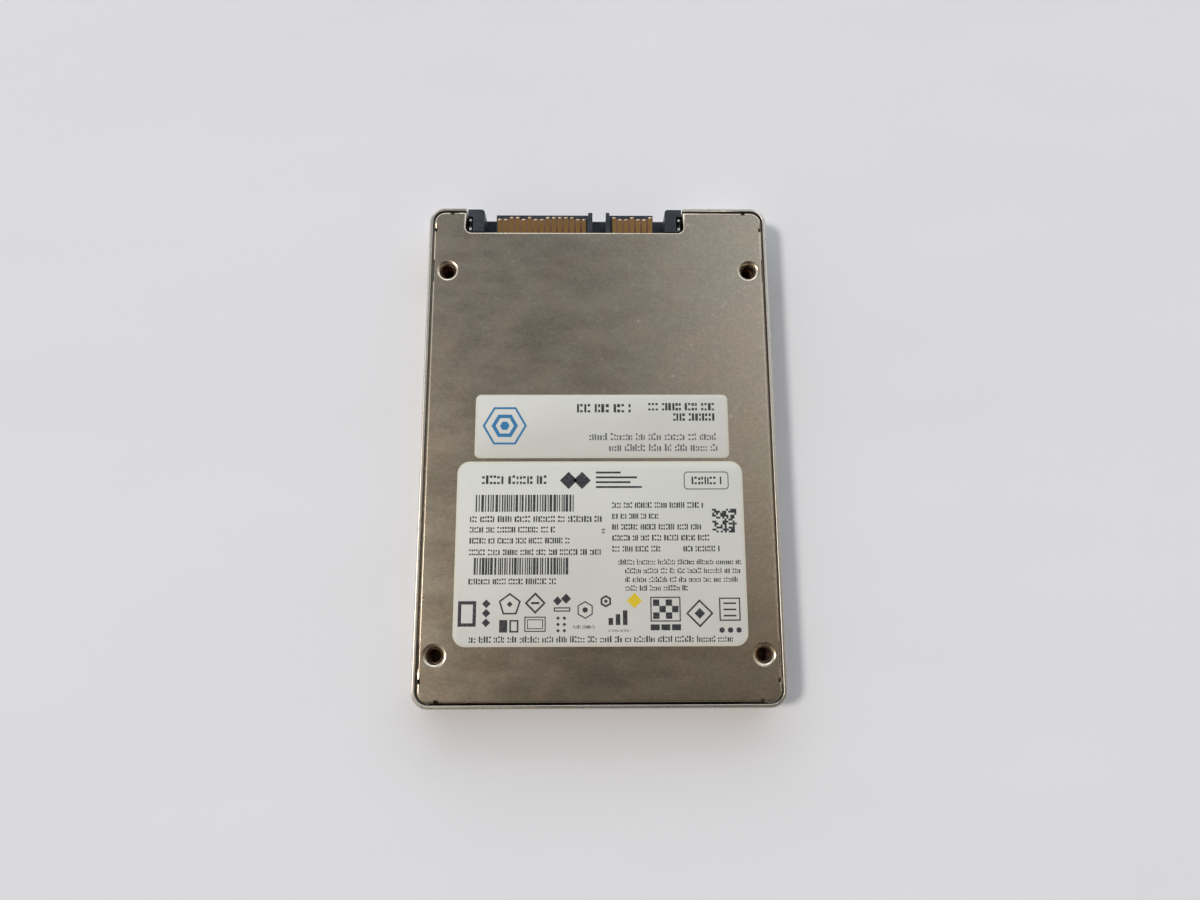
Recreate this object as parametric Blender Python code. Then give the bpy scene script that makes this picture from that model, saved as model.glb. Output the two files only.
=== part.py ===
"""A 2.5 inch solid state drive, taken as it comes apart on a bench.

A deep stamped base shell holds four threaded corner blocks, an insulating film
and the circuit board. A 22-way edge plug is soldered to the board, and a
stamped cover plate with two paper labels nests inside the base shell's rim.

Frame: +X to the right, +Y towards the plug, +Z up through the labelled face.
The origin is the centre of the face that the drive rests on.
"""

import math

import bmesh
import bpy
from mathutils import Matrix, Vector

MM = 0.001
TOUCH = 0.05 * MM          # clearance between two flat pieces that lie on each other
CLEAR = 0.30 * MM          # clearance between neighbours that are only close

# Case
CASE_WIDTH = 69.85 * MM
CASE_LENGTH = 100.20 * MM
CASE_HEIGHT = 7.00 * MM
CORNER_RADIUS = 3.20 * MM
WALL = 0.70 * MM
FLOOR = 0.80 * MM
RIM_TOP = 6.70 * MM
BOTTOM_ROUND = 0.60 * MM
RIM_ROUND = 0.25 * MM

# Screw pattern
HOLE_X = 61.72 / 2 * MM
HOLE_FRONT_Y = CASE_LENGTH / 2 - 14.00 * MM
HOLE_REAR_Y = HOLE_FRONT_Y - 76.60 * MM
SIDE_HOLE_Z = CASE_HEIGHT - 3.00 * MM
THREAD_RADIUS = 1.30 * MM
SIDE_HOLE_RADIUS = 1.70 * MM

# Labels and cover plate
LABEL_THICK = 0.10 * MM
COVER_TOP = CASE_HEIGHT - LABEL_THICK - TOUCH
COVER_THICK = 0.70 * MM
COVER_UNDER = COVER_TOP - COVER_THICK
SEAM = 0.37 * MM
COVER_X = CASE_WIDTH / 2 - WALL - SEAM
COVER_Y = CASE_LENGTH / 2 - WALL - SEAM
COVER_EDGE_ROUND = 0.40 * MM
FLANGE_THICK = 0.60 * MM
FLANGE_BOTTOM = 5.20 * MM
FLANGE_END_X = 29.80 * MM  # the end flanges stop here, the side flanges at FLANGE_END_Y
FLANGE_END_Y = 44.70 * MM
RELIEF = 0.85 * MM         # corner relief notch, along the edge
RELIEF_DEPTH = 0.60 * MM
SIDE_RECESS_HALF = 2.40 * MM
SIDE_RECESS_DEPTH = 0.32 * MM
COUNTERSINK_RADIUS = 2.00 * MM
COVER_HOLE_RADIUS = 1.45 * MM
LABELS = {                 # low X, high X, low Y, high Y, corner radius
    "label_large": (-27.50 * MM, 27.95 * MM, -38.95 * MM, -3.75 * MM, 2.40 * MM),
    "label_small": (-24.30 * MM, 25.55 * MM, -3.12 * MM, 9.72 * MM, 1.10 * MM),
}

# Edge plug
PLUG_X = -4.86 * MM        # middle of the contact row, which stands off the case's middle
PLUG_LEFT = -27.10 * MM
PLUG_RIGHT = 17.38 * MM
PLUG_BACK = 41.30 * MM
PLUG_WALL_FRONT = 44.90 * MM
PLUG_BOTTOM = 1.30 * MM
EAR_WIDTH = 3.45 * MM
EAR_FRONT = 49.95 * MM
EAR_TOP = 6.35 * MM
EAR_ROUND = 0.60 * MM
TONGUE_FRONT = 49.80 * MM
TONGUE_LOW = 2.90 * MM
TONGUE_TOP = 4.10 * MM
KEY_TOP = 5.30 * MM
POWER_TONGUE = (-21.40 * MM, -1.16 * MM)
POWER_KEY = (-2.08 * MM, -1.16 * MM)
SIGNAL_TONGUE = (1.62 * MM, 11.60 * MM)
SIGNAL_KEY = (1.62 * MM, 2.42 * MM)
NOTCH_LEFT = -27.42 * MM   # the cover and the base shell's wall both open between these
NOTCH_RIGHT = 17.70 * MM
NOTCH_Y = 44.60 * MM
NOTCH_RADIUS = 1.20 * MM

# Contacts
PITCH = 1.27 * MM
POWER_COUNT = 15
SIGNAL_COUNT = 7
GROUP_GAP = 6.35 * MM      # from the last power contact to the first signal contact
POWER_LONG = {3, 4, 5, 6, 7, 10, 12, 13}
SIGNAL_LONG = {1, 4, 7}
CONTACT_WIDTH = 0.84 * MM
CONTACT_THICK = 0.15 * MM
CONTACT_BEND = 0.30 * MM
LONG_TIP = 49.35 * MM
SHORT_TIP = 48.90 * MM
TAIL_END = 38.80 * MM

# Ear clips
CLIP_POCKET_DEPTH = 1.10 * MM
CLIP_POCKET = (45.10 * MM, 48.30 * MM)
CLIP_THICK = 0.50 * MM
CLIP_PRONG = 0.60 * MM
CLIP_BRIDGE = 1.00 * MM
CLIP_TOP = 6.00 * MM

# Circuit board
BOARD_LOW = 2.50 * MM
BOARD_TOP = 3.50 * MM
BOARD_X = 32.30 * MM
BOARD_NECK_X = 27.40 * MM
BOARD_FRONT = 41.00 * MM
BOARD_SHOULDER = 31.60 * MM
BOARD_REAR = -19.00 * MM
BOARD_HOLE = 1.30 * MM
SCREW_X = 29.40 * MM
SCREW_FRONT_Y = 27.40 * MM
SCREW_REAR_Y = -16.40 * MM
SCREW_SHANK = 0.85 * MM
SCREW_HEAD = 1.90 * MM
SCREW_HEAD_HIGH = 1.00 * MM
SCREW_TIP = 1.25 * MM
RECESS_SPAN = 1.20 * MM
RECESS_ARM = 0.34 * MM
RECESS_DEEP = 0.50 * MM
BOSS_RADIUS = 2.20 * MM
BOSS_BORE = 1.20 * MM
BOSS_BORE_LOW = 0.95 * MM

# Corner blocks
BLOCK_IN = 28.00 * MM
BLOCK_OUT = 33.00 * MM
BLOCK_HALF_LENGTH = 4.00 * MM
BLOCK_LOW = FLOOR + CLEAR
BLOCK_TOP = COVER_UNDER - CLEAR
BLOCK_BORE_LOW = 1.90 * MM
SIDE_BORE_END = 29.20 * MM

# Insulating film
FILM_THICK = 0.15 * MM
FILM_X = 33.60 * MM
FILM_REAR = -22.00 * MM
FILM_SHOULDER = 47.80 * MM
FILM_FRONT = 49.90 * MM
FILM_HOLE = BOSS_RADIUS + CLEAR

# Board components: name, centre X, centre Y, size X, size Y, height
COMPONENTS = (
    ("controller_chip", -4.0, 20.5, 15.0, 15.0, 1.10),
    ("dram_chip", 12.5, 20.5, 8.0, 12.0, 1.10),
    ("nand_chip_1", -23.4, -4.5, 12.0, 18.0, 1.10),
    ("nand_chip_2", -7.8, -4.5, 12.0, 18.0, 1.10),
    ("nand_chip_3", 7.8, -4.5, 12.0, 18.0, 1.10),
    ("nand_chip_4", 23.4, -4.5, 12.0, 18.0, 1.10),
    ("power_chip", -18.8, 26.4, 5.0, 5.0, 0.90),
    ("power_inductor_1", -18.8, 33.4, 4.2, 4.2, 1.90),
    ("power_inductor_2", -24.0, 27.0, 4.2, 4.2, 1.90),
    ("crystal", -4.0, 31.4, 3.2, 2.5, 0.80),
    ("bulk_capacitor_1", 22.0, 35.0, 3.5, 2.8, 1.80),
    ("bulk_capacitor_2", 22.0, 30.2, 3.5, 2.8, 1.80),
    ("bulk_capacitor_3", 22.0, 25.4, 3.5, 2.8, 1.80),
)
COMPONENT_LOW = BOARD_TOP + CLEAR
PADS = {                   # low X, high X, low Y, high Y
    "thermal_pad_controller": (-10.5 * MM, 2.5 * MM, 14.0 * MM, 27.0 * MM),
    "thermal_pad_nand_left": (-28.9 * MM, -2.2 * MM, -11.0 * MM, 2.0 * MM),
    "thermal_pad_nand_right": (2.2 * MM, 28.9 * MM, -11.0 * MM, 2.0 * MM),
}
PAD_LOW = COMPONENT_LOW + 1.10 * MM + CLEAR
PAD_TOP = COVER_UNDER - CLEAR

ARC_STEPS = 8              # flats along a quarter of a case corner
ROUND_STEPS = 24           # flats around a bore
OVERRUN = 1.00 * MM        # how far a cutter runs past the face it opens
SMOOTH_ANGLE = math.radians(35)


def clear_scene():
    for obj in list(bpy.data.objects):
        bpy.data.objects.remove(obj, do_unlink=True)


def finish(name, color, roughness, metallic):
    material = bpy.data.materials.new(name)
    material.use_nodes = True
    shader = material.node_tree.nodes["Principled BSDF"]
    shader.inputs["Base Color"].default_value = (*color, 1.0)
    shader.inputs["Roughness"].default_value = roughness
    shader.inputs["Metallic"].default_value = metallic
    return material


def make_object(name, bm, material=None):
    bmesh.ops.recalc_face_normals(bm, faces=bm.faces)
    mesh = bpy.data.meshes.new(name)
    bm.to_mesh(mesh)
    bm.free()
    mesh.shade_smooth()
    mesh.set_sharp_from_angle(angle=SMOOTH_ANGLE)
    obj = bpy.data.objects.new(name, mesh)
    bpy.context.scene.collection.objects.link(obj)
    if material is not None:
        mesh.materials.append(material)
    return obj


def rounded_outline(x_low, x_high, y_low, y_high, radius, steps=ARC_STEPS):
    """Corner points of a rectangle with round corners, anticlockwise."""
    centres = (
        (x_high - radius, y_high - radius, 0.0),
        (x_low + radius, y_high - radius, 90.0),
        (x_low + radius, y_low + radius, 180.0),
        (x_high - radius, y_low + radius, 270.0),
    )
    points = []
    for cx, cy, start in centres:
        for step in range(steps + 1):
            angle = math.radians(start + 90.0 * step / steps)
            points.append((cx + radius * math.cos(angle), cy + radius * math.sin(angle)))
    return points


def rectangle(x_low, x_high, y_low, y_high):
    return [(x_low, y_low), (x_high, y_low), (x_high, y_high), (x_low, y_high)]


def prism(outline, z_low, z_high):
    """A bmesh of an outline in the XY plane, raised from z_low to z_high."""
    bm = bmesh.new()
    base = bm.faces.new([bm.verts.new((x, y, z_low)) for x, y in outline])
    raised = bmesh.ops.extrude_face_region(bm, geom=[base])
    top = [item for item in raised["geom"] if isinstance(item, bmesh.types.BMVert)]
    bmesh.ops.translate(bm, verts=top, vec=(0.0, 0.0, z_high - z_low))
    return bm


def box(x_low, x_high, y_low, y_high, z_low, z_high):
    return prism(rectangle(x_low, x_high, y_low, y_high), z_low, z_high)


def cylinder(centre, radius, z_low, z_high, steps=ROUND_STEPS):
    place = Matrix.Translation((centre[0], centre[1], (z_low + z_high) / 2))
    bm = bmesh.new()
    bmesh.ops.create_cone(bm, cap_ends=True, segments=steps, radius1=radius, radius2=radius,
                          depth=z_high - z_low, matrix=place)
    return bm


def turned(centre, profile, steps=ROUND_STEPS):
    """Spins (radius, z) points, which start and end on the axis, about a vertical axis."""
    bm = bmesh.new()
    verts = [bm.verts.new((centre[0] + radius, centre[1], z)) for radius, z in profile]
    edges = [bm.edges.new(pair) for pair in zip(verts, verts[1:])]
    bmesh.ops.spin(bm, geom=verts + edges, cent=(centre[0], centre[1], 0.0), axis=(0, 0, 1),
                   angle=math.tau, steps=steps, use_merge=True)
    bmesh.ops.remove_doubles(bm, verts=bm.verts, dist=MM / 1000)
    return bm


def bevel_level(bm, z, width, segments):
    """Rounds the edges that lie flat at height z."""
    level = [edge for edge in bm.edges if all(abs(v.co.z - z) < MM / 1000 for v in edge.verts)]
    bmesh.ops.bevel(bm, geom=level, offset=width, segments=segments, profile=0.5,
                    affect="EDGES", material=-1, clamp_overlap=True)


def combine(target, bm, operation):
    """Adds an exact Boolean modifier with a hidden tool made from bm."""
    tool = make_object(f"{target.name}_tool_{len(target.modifiers)}", bm)
    tool.hide_render = True
    tool.display_type = "WIRE"
    modifier = target.modifiers.new(tool.name, "BOOLEAN")
    modifier.object = tool
    modifier.operation = operation
    modifier.solver = "EXACT"


def cut(target, bm):
    combine(target, bm, "DIFFERENCE")


def add(target, bm):
    combine(target, bm, "UNION")


def corners():
    """Each screw position as (side sign, centre X, centre Y)."""
    for y in (HOLE_FRONT_Y, HOLE_REAR_Y):
        for side in (-1, 1):
            yield side, side * HOLE_X, y


def screw_points():
    return [(side * SCREW_X, y) for y in (SCREW_FRONT_Y, SCREW_REAR_Y) for side in (-1, 1)]


def sideways_cylinder(side, x_near, x_far, y, z, radius):
    """A cylinder along X, from |X| = x_near to |X| = x_far on one side of the case."""
    place = Matrix.Translation((side * (x_near + x_far) / 2, y, z)) @ Matrix.Rotation(math.pi / 2, 4, "Y")
    bm = bmesh.new()
    bmesh.ops.create_cone(bm, cap_ends=True, segments=ROUND_STEPS, radius1=radius, radius2=radius,
                          depth=x_far - x_near, matrix=place)
    return bm


def make_base_shell(material):
    half_x, half_y = CASE_WIDTH / 2, CASE_LENGTH / 2
    body = prism(rounded_outline(-half_x, half_x, -half_y, half_y, CORNER_RADIUS), 0.0, RIM_TOP)
    bevel_level(body, 0.0, BOTTOM_ROUND, 2)
    bevel_level(body, RIM_TOP, RIM_ROUND, 1)
    shell = make_object("base_shell", body, material)
    inside = rounded_outline(-half_x + WALL, half_x - WALL, -half_y + WALL, half_y - WALL,
                             CORNER_RADIUS - WALL)
    cut(shell, prism(inside, FLOOR, RIM_TOP + OVERRUN))
    cut(shell, box(NOTCH_LEFT, NOTCH_RIGHT, half_y - 2 * WALL, half_y + OVERRUN,
                   FLOOR, RIM_TOP + OVERRUN))
    for side, _, y in corners():
        cut(shell, sideways_cylinder(side, half_x - 2 * WALL, half_x + OVERRUN, y, SIDE_HOLE_Z,
                                     SIDE_HOLE_RADIUS))
    for point in screw_points():
        add(shell, cylinder(point, BOSS_RADIUS, FLOOR / 2, BOARD_LOW - CLEAR))
        cut(shell, cylinder(point, BOSS_BORE, BOSS_BORE_LOW, BOARD_LOW))


def cut_cover_edges(cover):
    """Opens the flanges at the corners and beside the side screws, and cuts the relief notches."""
    low = FLANGE_BOTTOM - OVERRUN
    high = COVER_TOP + OVERRUN
    for sx in (-1, 1):
        for sy in (-1, 1):
            x_span = sorted((sx * FLANGE_END_X, sx * (COVER_X + OVERRUN)))
            y_span = sorted((sy * FLANGE_END_Y, sy * (COVER_Y + OVERRUN)))
            cut(cover, box(*x_span, *y_span, low, COVER_UNDER))
            x_edge = sorted((sx * (COVER_X - RELIEF_DEPTH), sx * (COVER_X + OVERRUN)))
            y_slot = sorted((sy * FLANGE_END_Y, sy * (FLANGE_END_Y + RELIEF)))
            cut(cover, box(*x_edge, *y_slot, low, high))
            y_edge = sorted((sy * (COVER_Y - RELIEF_DEPTH), sy * (COVER_Y + OVERRUN)))
            x_slot = sorted((sx * FLANGE_END_X, sx * (FLANGE_END_X + RELIEF)))
            cut(cover, box(*x_slot, *y_edge, low, high))
    for side, _, y in corners():
        flange = sorted((side * (COVER_X - FLANGE_THICK - CLEAR), side * (COVER_X + OVERRUN)))
        recess = sorted((side * (COVER_X - SIDE_RECESS_DEPTH), side * (COVER_X + OVERRUN)))
        y_span = (y - SIDE_RECESS_HALF, y + SIDE_RECESS_HALF)
        cut(cover, box(*flange, *y_span, low, COVER_UNDER))
        cut(cover, box(*recess, *y_span, low, high))


def make_cover_plate(material):
    body = prism(rounded_outline(-COVER_X, COVER_X, -COVER_Y, COVER_Y,
                                 CORNER_RADIUS - WALL - SEAM), FLANGE_BOTTOM, COVER_TOP)
    bevel_level(body, COVER_TOP, COVER_EDGE_ROUND, 2)
    cover = make_object("cover_plate", body, material)
    inner_x, inner_y = COVER_X - FLANGE_THICK, COVER_Y - FLANGE_THICK
    cut(cover, box(-inner_x, inner_x, -inner_y, inner_y, FLANGE_BOTTOM - OVERRUN, COVER_UNDER))
    cut_cover_edges(cover)
    notch = rounded_outline(NOTCH_LEFT, NOTCH_RIGHT, NOTCH_Y, CASE_LENGTH / 2 + 2 * OVERRUN,
                            NOTCH_RADIUS)
    cut(cover, prism(notch, FLANGE_BOTTOM - OVERRUN, COVER_TOP + OVERRUN))
    sink = COUNTERSINK_RADIUS - COVER_HOLE_RADIUS
    profile = (
        (0.0, COVER_UNDER - OVERRUN),
        (COVER_HOLE_RADIUS, COVER_UNDER - OVERRUN),
        (COVER_HOLE_RADIUS, COVER_TOP - sink),
        (COUNTERSINK_RADIUS, COVER_TOP),
        (COUNTERSINK_RADIUS, COVER_TOP + OVERRUN),
        (0.0, COVER_TOP + OVERRUN),
    )
    for _, x, y in corners():
        cut(cover, turned((x, y), profile))


def make_labels(material):
    for name, (x_low, x_high, y_low, y_high, radius) in LABELS.items():
        outline = rounded_outline(x_low, x_high, y_low, y_high, radius)
        make_object(name, prism(outline, CASE_HEIGHT - LABEL_THICK, CASE_HEIGHT), material)


def make_corner_blocks(material):
    names = {(-1, HOLE_FRONT_Y): "front_left", (1, HOLE_FRONT_Y): "front_right",
             (-1, HOLE_REAR_Y): "rear_left", (1, HOLE_REAR_Y): "rear_right"}
    for side, x, y in corners():
        x_span = sorted((side * BLOCK_IN, side * BLOCK_OUT))
        body = box(*x_span, y - BLOCK_HALF_LENGTH, y + BLOCK_HALF_LENGTH, BLOCK_LOW, BLOCK_TOP)
        block = make_object(f"mount_block_{names[side, y]}", body, material)
        cut(block, cylinder((x, y), THREAD_RADIUS, BLOCK_BORE_LOW, BLOCK_TOP + OVERRUN))
        cut(block, sideways_cylinder(side, SIDE_BORE_END, BLOCK_OUT + OVERRUN, y, SIDE_HOLE_Z,
                                     THREAD_RADIUS))


def ear_outline(outer, inner, back, front):
    """An ear seen from above, with its inner front corner rounded."""
    toward = math.copysign(1.0, outer - inner)
    cx, cy = inner + toward * EAR_ROUND, front - EAR_ROUND
    points = [(outer, back), (outer, front)]
    for step in range(ARC_STEPS // 2 + 1):
        angle = math.radians(90.0 * step / (ARC_STEPS // 2))
        points.append((cx - toward * EAR_ROUND * math.sin(angle), cy + EAR_ROUND * math.cos(angle)))
    points.append((inner, back))
    return points


def make_plug_housing(material):
    wall = box(PLUG_LEFT, PLUG_RIGHT, PLUG_BACK, PLUG_WALL_FRONT, PLUG_BOTTOM, TONGUE_TOP)
    housing = make_object("plug_housing", wall, material)
    for x_low, x_high in (POWER_TONGUE, SIGNAL_TONGUE):
        add(housing, box(x_low, x_high, PLUG_WALL_FRONT - OVERRUN, TONGUE_FRONT, TONGUE_LOW,
                         TONGUE_TOP))
    for x_low, x_high in (POWER_KEY, SIGNAL_KEY):
        add(housing, box(x_low, x_high, PLUG_WALL_FRONT, TONGUE_FRONT,
                         TONGUE_TOP - TOUCH, KEY_TOP))
    for outer, toward in ((PLUG_LEFT, 1), (PLUG_RIGHT, -1)):
        inner = outer + toward * EAR_WIDTH
        add(housing, prism(ear_outline(outer, inner, PLUG_WALL_FRONT, EAR_FRONT),
                           PLUG_BOTTOM, EAR_TOP))
        add(housing, box(*sorted((outer, inner)), PLUG_BACK, PLUG_WALL_FRONT + EAR_ROUND,
                         PLUG_BOTTOM, COVER_UNDER - CLEAR))
        pocket = sorted((outer - toward * OVERRUN, outer + toward * CLIP_POCKET_DEPTH))
        cut(housing, box(*pocket, *CLIP_POCKET, PLUG_BOTTOM - OVERRUN, EAR_TOP + OVERRUN))


def make_ear_clips(material):
    """A bent metal clip in each ear's pocket: two prongs that rise from a bridge."""
    y_low, y_high = CLIP_POCKET[0] + CLEAR, CLIP_POCKET[1] - CLEAR
    z_low = PLUG_BOTTOM + TOUCH
    for name, outer, toward in (("ear_clip_left", PLUG_LEFT, 1), ("ear_clip_right", PLUG_RIGHT, -1)):
        inner = outer + toward * (CLIP_POCKET_DEPTH - CLEAR)
        x_span = sorted((inner - toward * CLIP_THICK, inner))
        clip = make_object(name, box(*x_span, y_low, y_high, z_low, CLIP_TOP), material)
        cut(clip, box(x_span[0] - OVERRUN, x_span[1] + OVERRUN, y_low + CLIP_PRONG,
                      y_high - CLIP_PRONG, z_low + CLIP_BRIDGE, CLIP_TOP + OVERRUN))


def contact_positions():
    """Each contact as (node name, X, Y of its tip)."""
    row = (POWER_COUNT + SIGNAL_COUNT - 2) * PITCH + GROUP_GAP
    power_left = PLUG_X - row / 2
    for number in range(POWER_COUNT, 0, -1):
        tip = LONG_TIP if number in POWER_LONG else SHORT_TIP
        yield f"contact_power_{number:02d}", power_left + (POWER_COUNT - number) * PITCH, tip
    signal_left = power_left + (POWER_COUNT - 1) * PITCH + GROUP_GAP
    for number in range(SIGNAL_COUNT, 0, -1):
        tip = LONG_TIP if number in SIGNAL_LONG else SHORT_TIP
        yield f"contact_signal_{number}", signal_left + (SIGNAL_COUNT - number) * PITCH, tip


def make_contacts(material):
    """Each contact lies along a tongue, steps down behind the housing and ends in a solder tail."""
    low = TONGUE_TOP + TOUCH
    high = low + CONTACT_THICK
    tail_low = BOARD_TOP + TOUCH
    tail_high = tail_low + CONTACT_THICK
    step_y = PLUG_BACK - CLEAR / 2
    turn = Matrix(((0, 0, 1, 0), (1, 0, 0, 0), (0, 1, 0, 0), (0, 0, 0, 1)))
    for name, x, tip in contact_positions():
        side_view = [
            (tip, low), (tip, high - CONTACT_THICK / 2), (tip - CONTACT_BEND, high),
            (step_y - CONTACT_THICK, high), (step_y - CONTACT_THICK, tail_high),
            (TAIL_END, tail_high), (TAIL_END, tail_low), (step_y, tail_low), (step_y, low),
        ]
        strip = prism(side_view, x - CONTACT_WIDTH / 2, x + CONTACT_WIDTH / 2)
        bmesh.ops.transform(strip, matrix=turn, verts=strip.verts)
        make_object(name, strip, material)


def make_board(material):
    outline = [
        (-BOARD_X, BOARD_REAR), (BOARD_X, BOARD_REAR), (BOARD_X, BOARD_SHOULDER),
        (BOARD_NECK_X, BOARD_SHOULDER), (BOARD_NECK_X, BOARD_FRONT),
        (-BOARD_NECK_X, BOARD_FRONT), (-BOARD_NECK_X, BOARD_SHOULDER), (-BOARD_X, BOARD_SHOULDER),
    ]
    board = make_object("circuit_board", prism(outline, BOARD_LOW, BOARD_TOP), material)
    for point in screw_points():
        cut(board, cylinder(point, BOARD_HOLE, BOARD_LOW - OVERRUN, BOARD_TOP + OVERRUN))


def cross_outline(centre, span, arm):
    """A plus sign about centre, from its right arm anticlockwise."""
    quarter = [(span, -arm), (span, arm), (arm, arm)]
    points = []
    for turn in range(4):
        spin = Matrix.Rotation(turn * math.pi / 2, 2)
        points += [Vector(centre) + spin @ Vector(point) for point in quarter]
    return [tuple(point) for point in points]


def make_board_screws(material):
    head_low = BOARD_TOP + TOUCH
    head_top = head_low + SCREW_HEAD_HIGH
    profile = (
        (0.0, SCREW_TIP), (SCREW_SHANK, SCREW_TIP), (SCREW_SHANK, head_low),
        (SCREW_HEAD, head_low), (SCREW_HEAD, head_low + SCREW_HEAD_HIGH * 0.55),
        (SCREW_HEAD * 0.8, head_top), (0.0, head_top),
    )
    for number, point in enumerate(screw_points(), start=1):
        screw = make_object(f"board_screw_{number}", turned(point, profile, ROUND_STEPS - 4), material)
        cut(screw, prism(cross_outline(point, RECESS_SPAN, RECESS_ARM), head_top - RECESS_DEEP,
                         head_top + OVERRUN))


def make_film(material):
    outline = [
        (-FILM_X, FILM_REAR), (FILM_X, FILM_REAR), (FILM_X, FILM_SHOULDER),
        (NOTCH_RIGHT - CLEAR, FILM_SHOULDER), (NOTCH_RIGHT - CLEAR, FILM_FRONT),
        (NOTCH_LEFT + CLEAR, FILM_FRONT), (NOTCH_LEFT + CLEAR, FILM_SHOULDER),
        (-FILM_X, FILM_SHOULDER),
    ]
    low = FLOOR + TOUCH
    film = make_object("insulating_film", prism(outline, low, low + FILM_THICK), material)
    for point in screw_points():
        cut(film, cylinder(point, FILM_HOLE, low - OVERRUN, low + OVERRUN))


def make_components(looks):
    for name, x, y, size_x, size_y, height in COMPONENTS:
        kind = name.rstrip("_0123456789")
        body = box((x - size_x / 2) * MM, (x + size_x / 2) * MM, (y - size_y / 2) * MM,
                   (y + size_y / 2) * MM, COMPONENT_LOW, COMPONENT_LOW + height * MM)
        make_object(name, body, looks[kind])


def make_thermal_pads(material):
    for name, (x_low, x_high, y_low, y_high) in PADS.items():
        make_object(name, box(x_low, x_high, y_low, y_high, PAD_LOW, PAD_TOP), material)


def main():
    clear_scene()
    epoxy = finish("epoxy", (0.018, 0.018, 0.020), 0.50, 0.0)
    make_base_shell(finish("shell_metal", (0.42, 0.39, 0.34), 0.42, 1.0))
    make_cover_plate(finish("cover_metal", (0.36, 0.34, 0.30), 0.38, 1.0))
    make_labels(finish("label_paper", (0.60, 0.60, 0.57), 0.65, 0.0))
    make_corner_blocks(finish("block_metal", (0.45, 0.43, 0.40), 0.40, 1.0))
    make_plug_housing(finish("plug_plastic", (0.028, 0.033, 0.043), 0.45, 0.0))
    make_ear_clips(finish("clip_metal", (0.70, 0.69, 0.66), 0.25, 1.0))
    make_contacts(finish("contact_gold", (0.62, 0.42, 0.16), 0.30, 1.0))
    make_board(finish("board_green", (0.012, 0.070, 0.035), 0.45, 0.0))
    make_board_screws(finish("screw_steel", (0.50, 0.50, 0.50), 0.30, 1.0))
    make_film(finish("film_plastic", (0.022, 0.027, 0.036), 0.55, 0.0))
    make_components({
        "controller_chip": epoxy, "dram_chip": epoxy, "nand_chip": epoxy, "power_chip": epoxy,
        "power_inductor": finish("ferrite", (0.055, 0.055, 0.060), 0.60, 0.0),
        "crystal": finish("crystal_can", (0.62, 0.62, 0.60), 0.28, 1.0),
        "bulk_capacitor": finish("capacitor_resin", (0.42, 0.22, 0.035), 0.45, 0.0),
    })
    make_thermal_pads(finish("thermal_pad", (0.36, 0.40, 0.45), 0.80, 0.0))


main()
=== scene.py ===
"""Finish, print and studio light for a 2.5 inch solid state drive.

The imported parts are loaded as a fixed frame. Each operator below lays finer
pieces, print or a finish over them, in metres: +X to the right, +Y towards the
plug, +Z up through the labelled face.
"""

import math
import random

import bmesh
import bpy
from bpy.props import FloatProperty, FloatVectorProperty, PointerProperty
from mathutils import Euler, Matrix, Vector


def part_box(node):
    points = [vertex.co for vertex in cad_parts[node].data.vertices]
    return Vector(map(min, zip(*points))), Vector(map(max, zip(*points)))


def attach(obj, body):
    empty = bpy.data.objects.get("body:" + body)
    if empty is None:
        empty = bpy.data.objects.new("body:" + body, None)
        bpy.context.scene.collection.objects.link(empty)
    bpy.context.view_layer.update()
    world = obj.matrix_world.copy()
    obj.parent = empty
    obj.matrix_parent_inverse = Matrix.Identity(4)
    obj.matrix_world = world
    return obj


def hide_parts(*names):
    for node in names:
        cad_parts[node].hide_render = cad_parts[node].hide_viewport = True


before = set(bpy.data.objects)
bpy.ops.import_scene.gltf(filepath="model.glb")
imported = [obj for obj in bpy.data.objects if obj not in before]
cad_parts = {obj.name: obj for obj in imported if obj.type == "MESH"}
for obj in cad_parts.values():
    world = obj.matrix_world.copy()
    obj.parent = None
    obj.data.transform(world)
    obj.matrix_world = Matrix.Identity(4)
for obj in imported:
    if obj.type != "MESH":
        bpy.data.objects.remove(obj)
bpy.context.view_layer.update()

bl_info = {
    "name": "Solid state drive finish",
    "version": (1, 0, 0),
    "blender": (4, 5, 0),
    "location": "3D View > Sidebar > Drive",
    "description": "Builds the finish, print and light of a 2.5 inch solid state drive",
    "category": "Object",
}

MM = 0.001
MERGE = 0.0005 * MM
FLAT_ANGLE = math.radians(0.6)
SMOOTH_ANGLE = math.radians(50)
BREAK_ANGLE = math.radians(28)

COVER_LOW, COVER_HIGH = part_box("cover_plate")
SHELL_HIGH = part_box("base_shell")[1]
LABEL_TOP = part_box("label_large")[1].z
BOARD_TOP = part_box("circuit_board")[1].z
BLOCKS = ("front_left", "front_right", "rear_left", "rear_right")
HOLE_X = 30.86 * MM
HOLE_FRONT_Y = 36.10 * MM
HOLE_REAR_Y = -40.50 * MM
WALL = 0.70 * MM
SINK_RADIUS = 2.00 * MM
NOTCH_LEFT = -27.42 * MM
NOTCH_RIGHT = 17.70 * MM
NOTCH_Y = 44.60 * MM
LEDGE_GAP = 0.02 * MM
LEDGE_DROP = 1.00 * MM
INNER_RADIUS = 2.50 * MM
OUTER_RADIUS = INNER_RADIUS + WALL
BORE_RADIUS = 1.30 * MM
BORE_END = 1.95 * MM
BORE_SIDES = 40
LINING = 0.03 * MM
LINING_FLANGE = 0.11 * MM
# Depths below the rim for the painted shade inside the seam; the first also ends the fade of the
# worn pits.
SHADE_AND_WEAR_TOP = 0.10 * MM
SEAM_SHADE_FULL = 0.55 * MM
SEAM_SHADE_END = 2.60 * MM
WORN_DEPTH = 1.40 * MM

LABELS = (
    # node, piece, corner radius in mm
    ("label_large", "paper_label_large", 2.4),
    ("label_small", "paper_label_small", 1.1),
)

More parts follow.
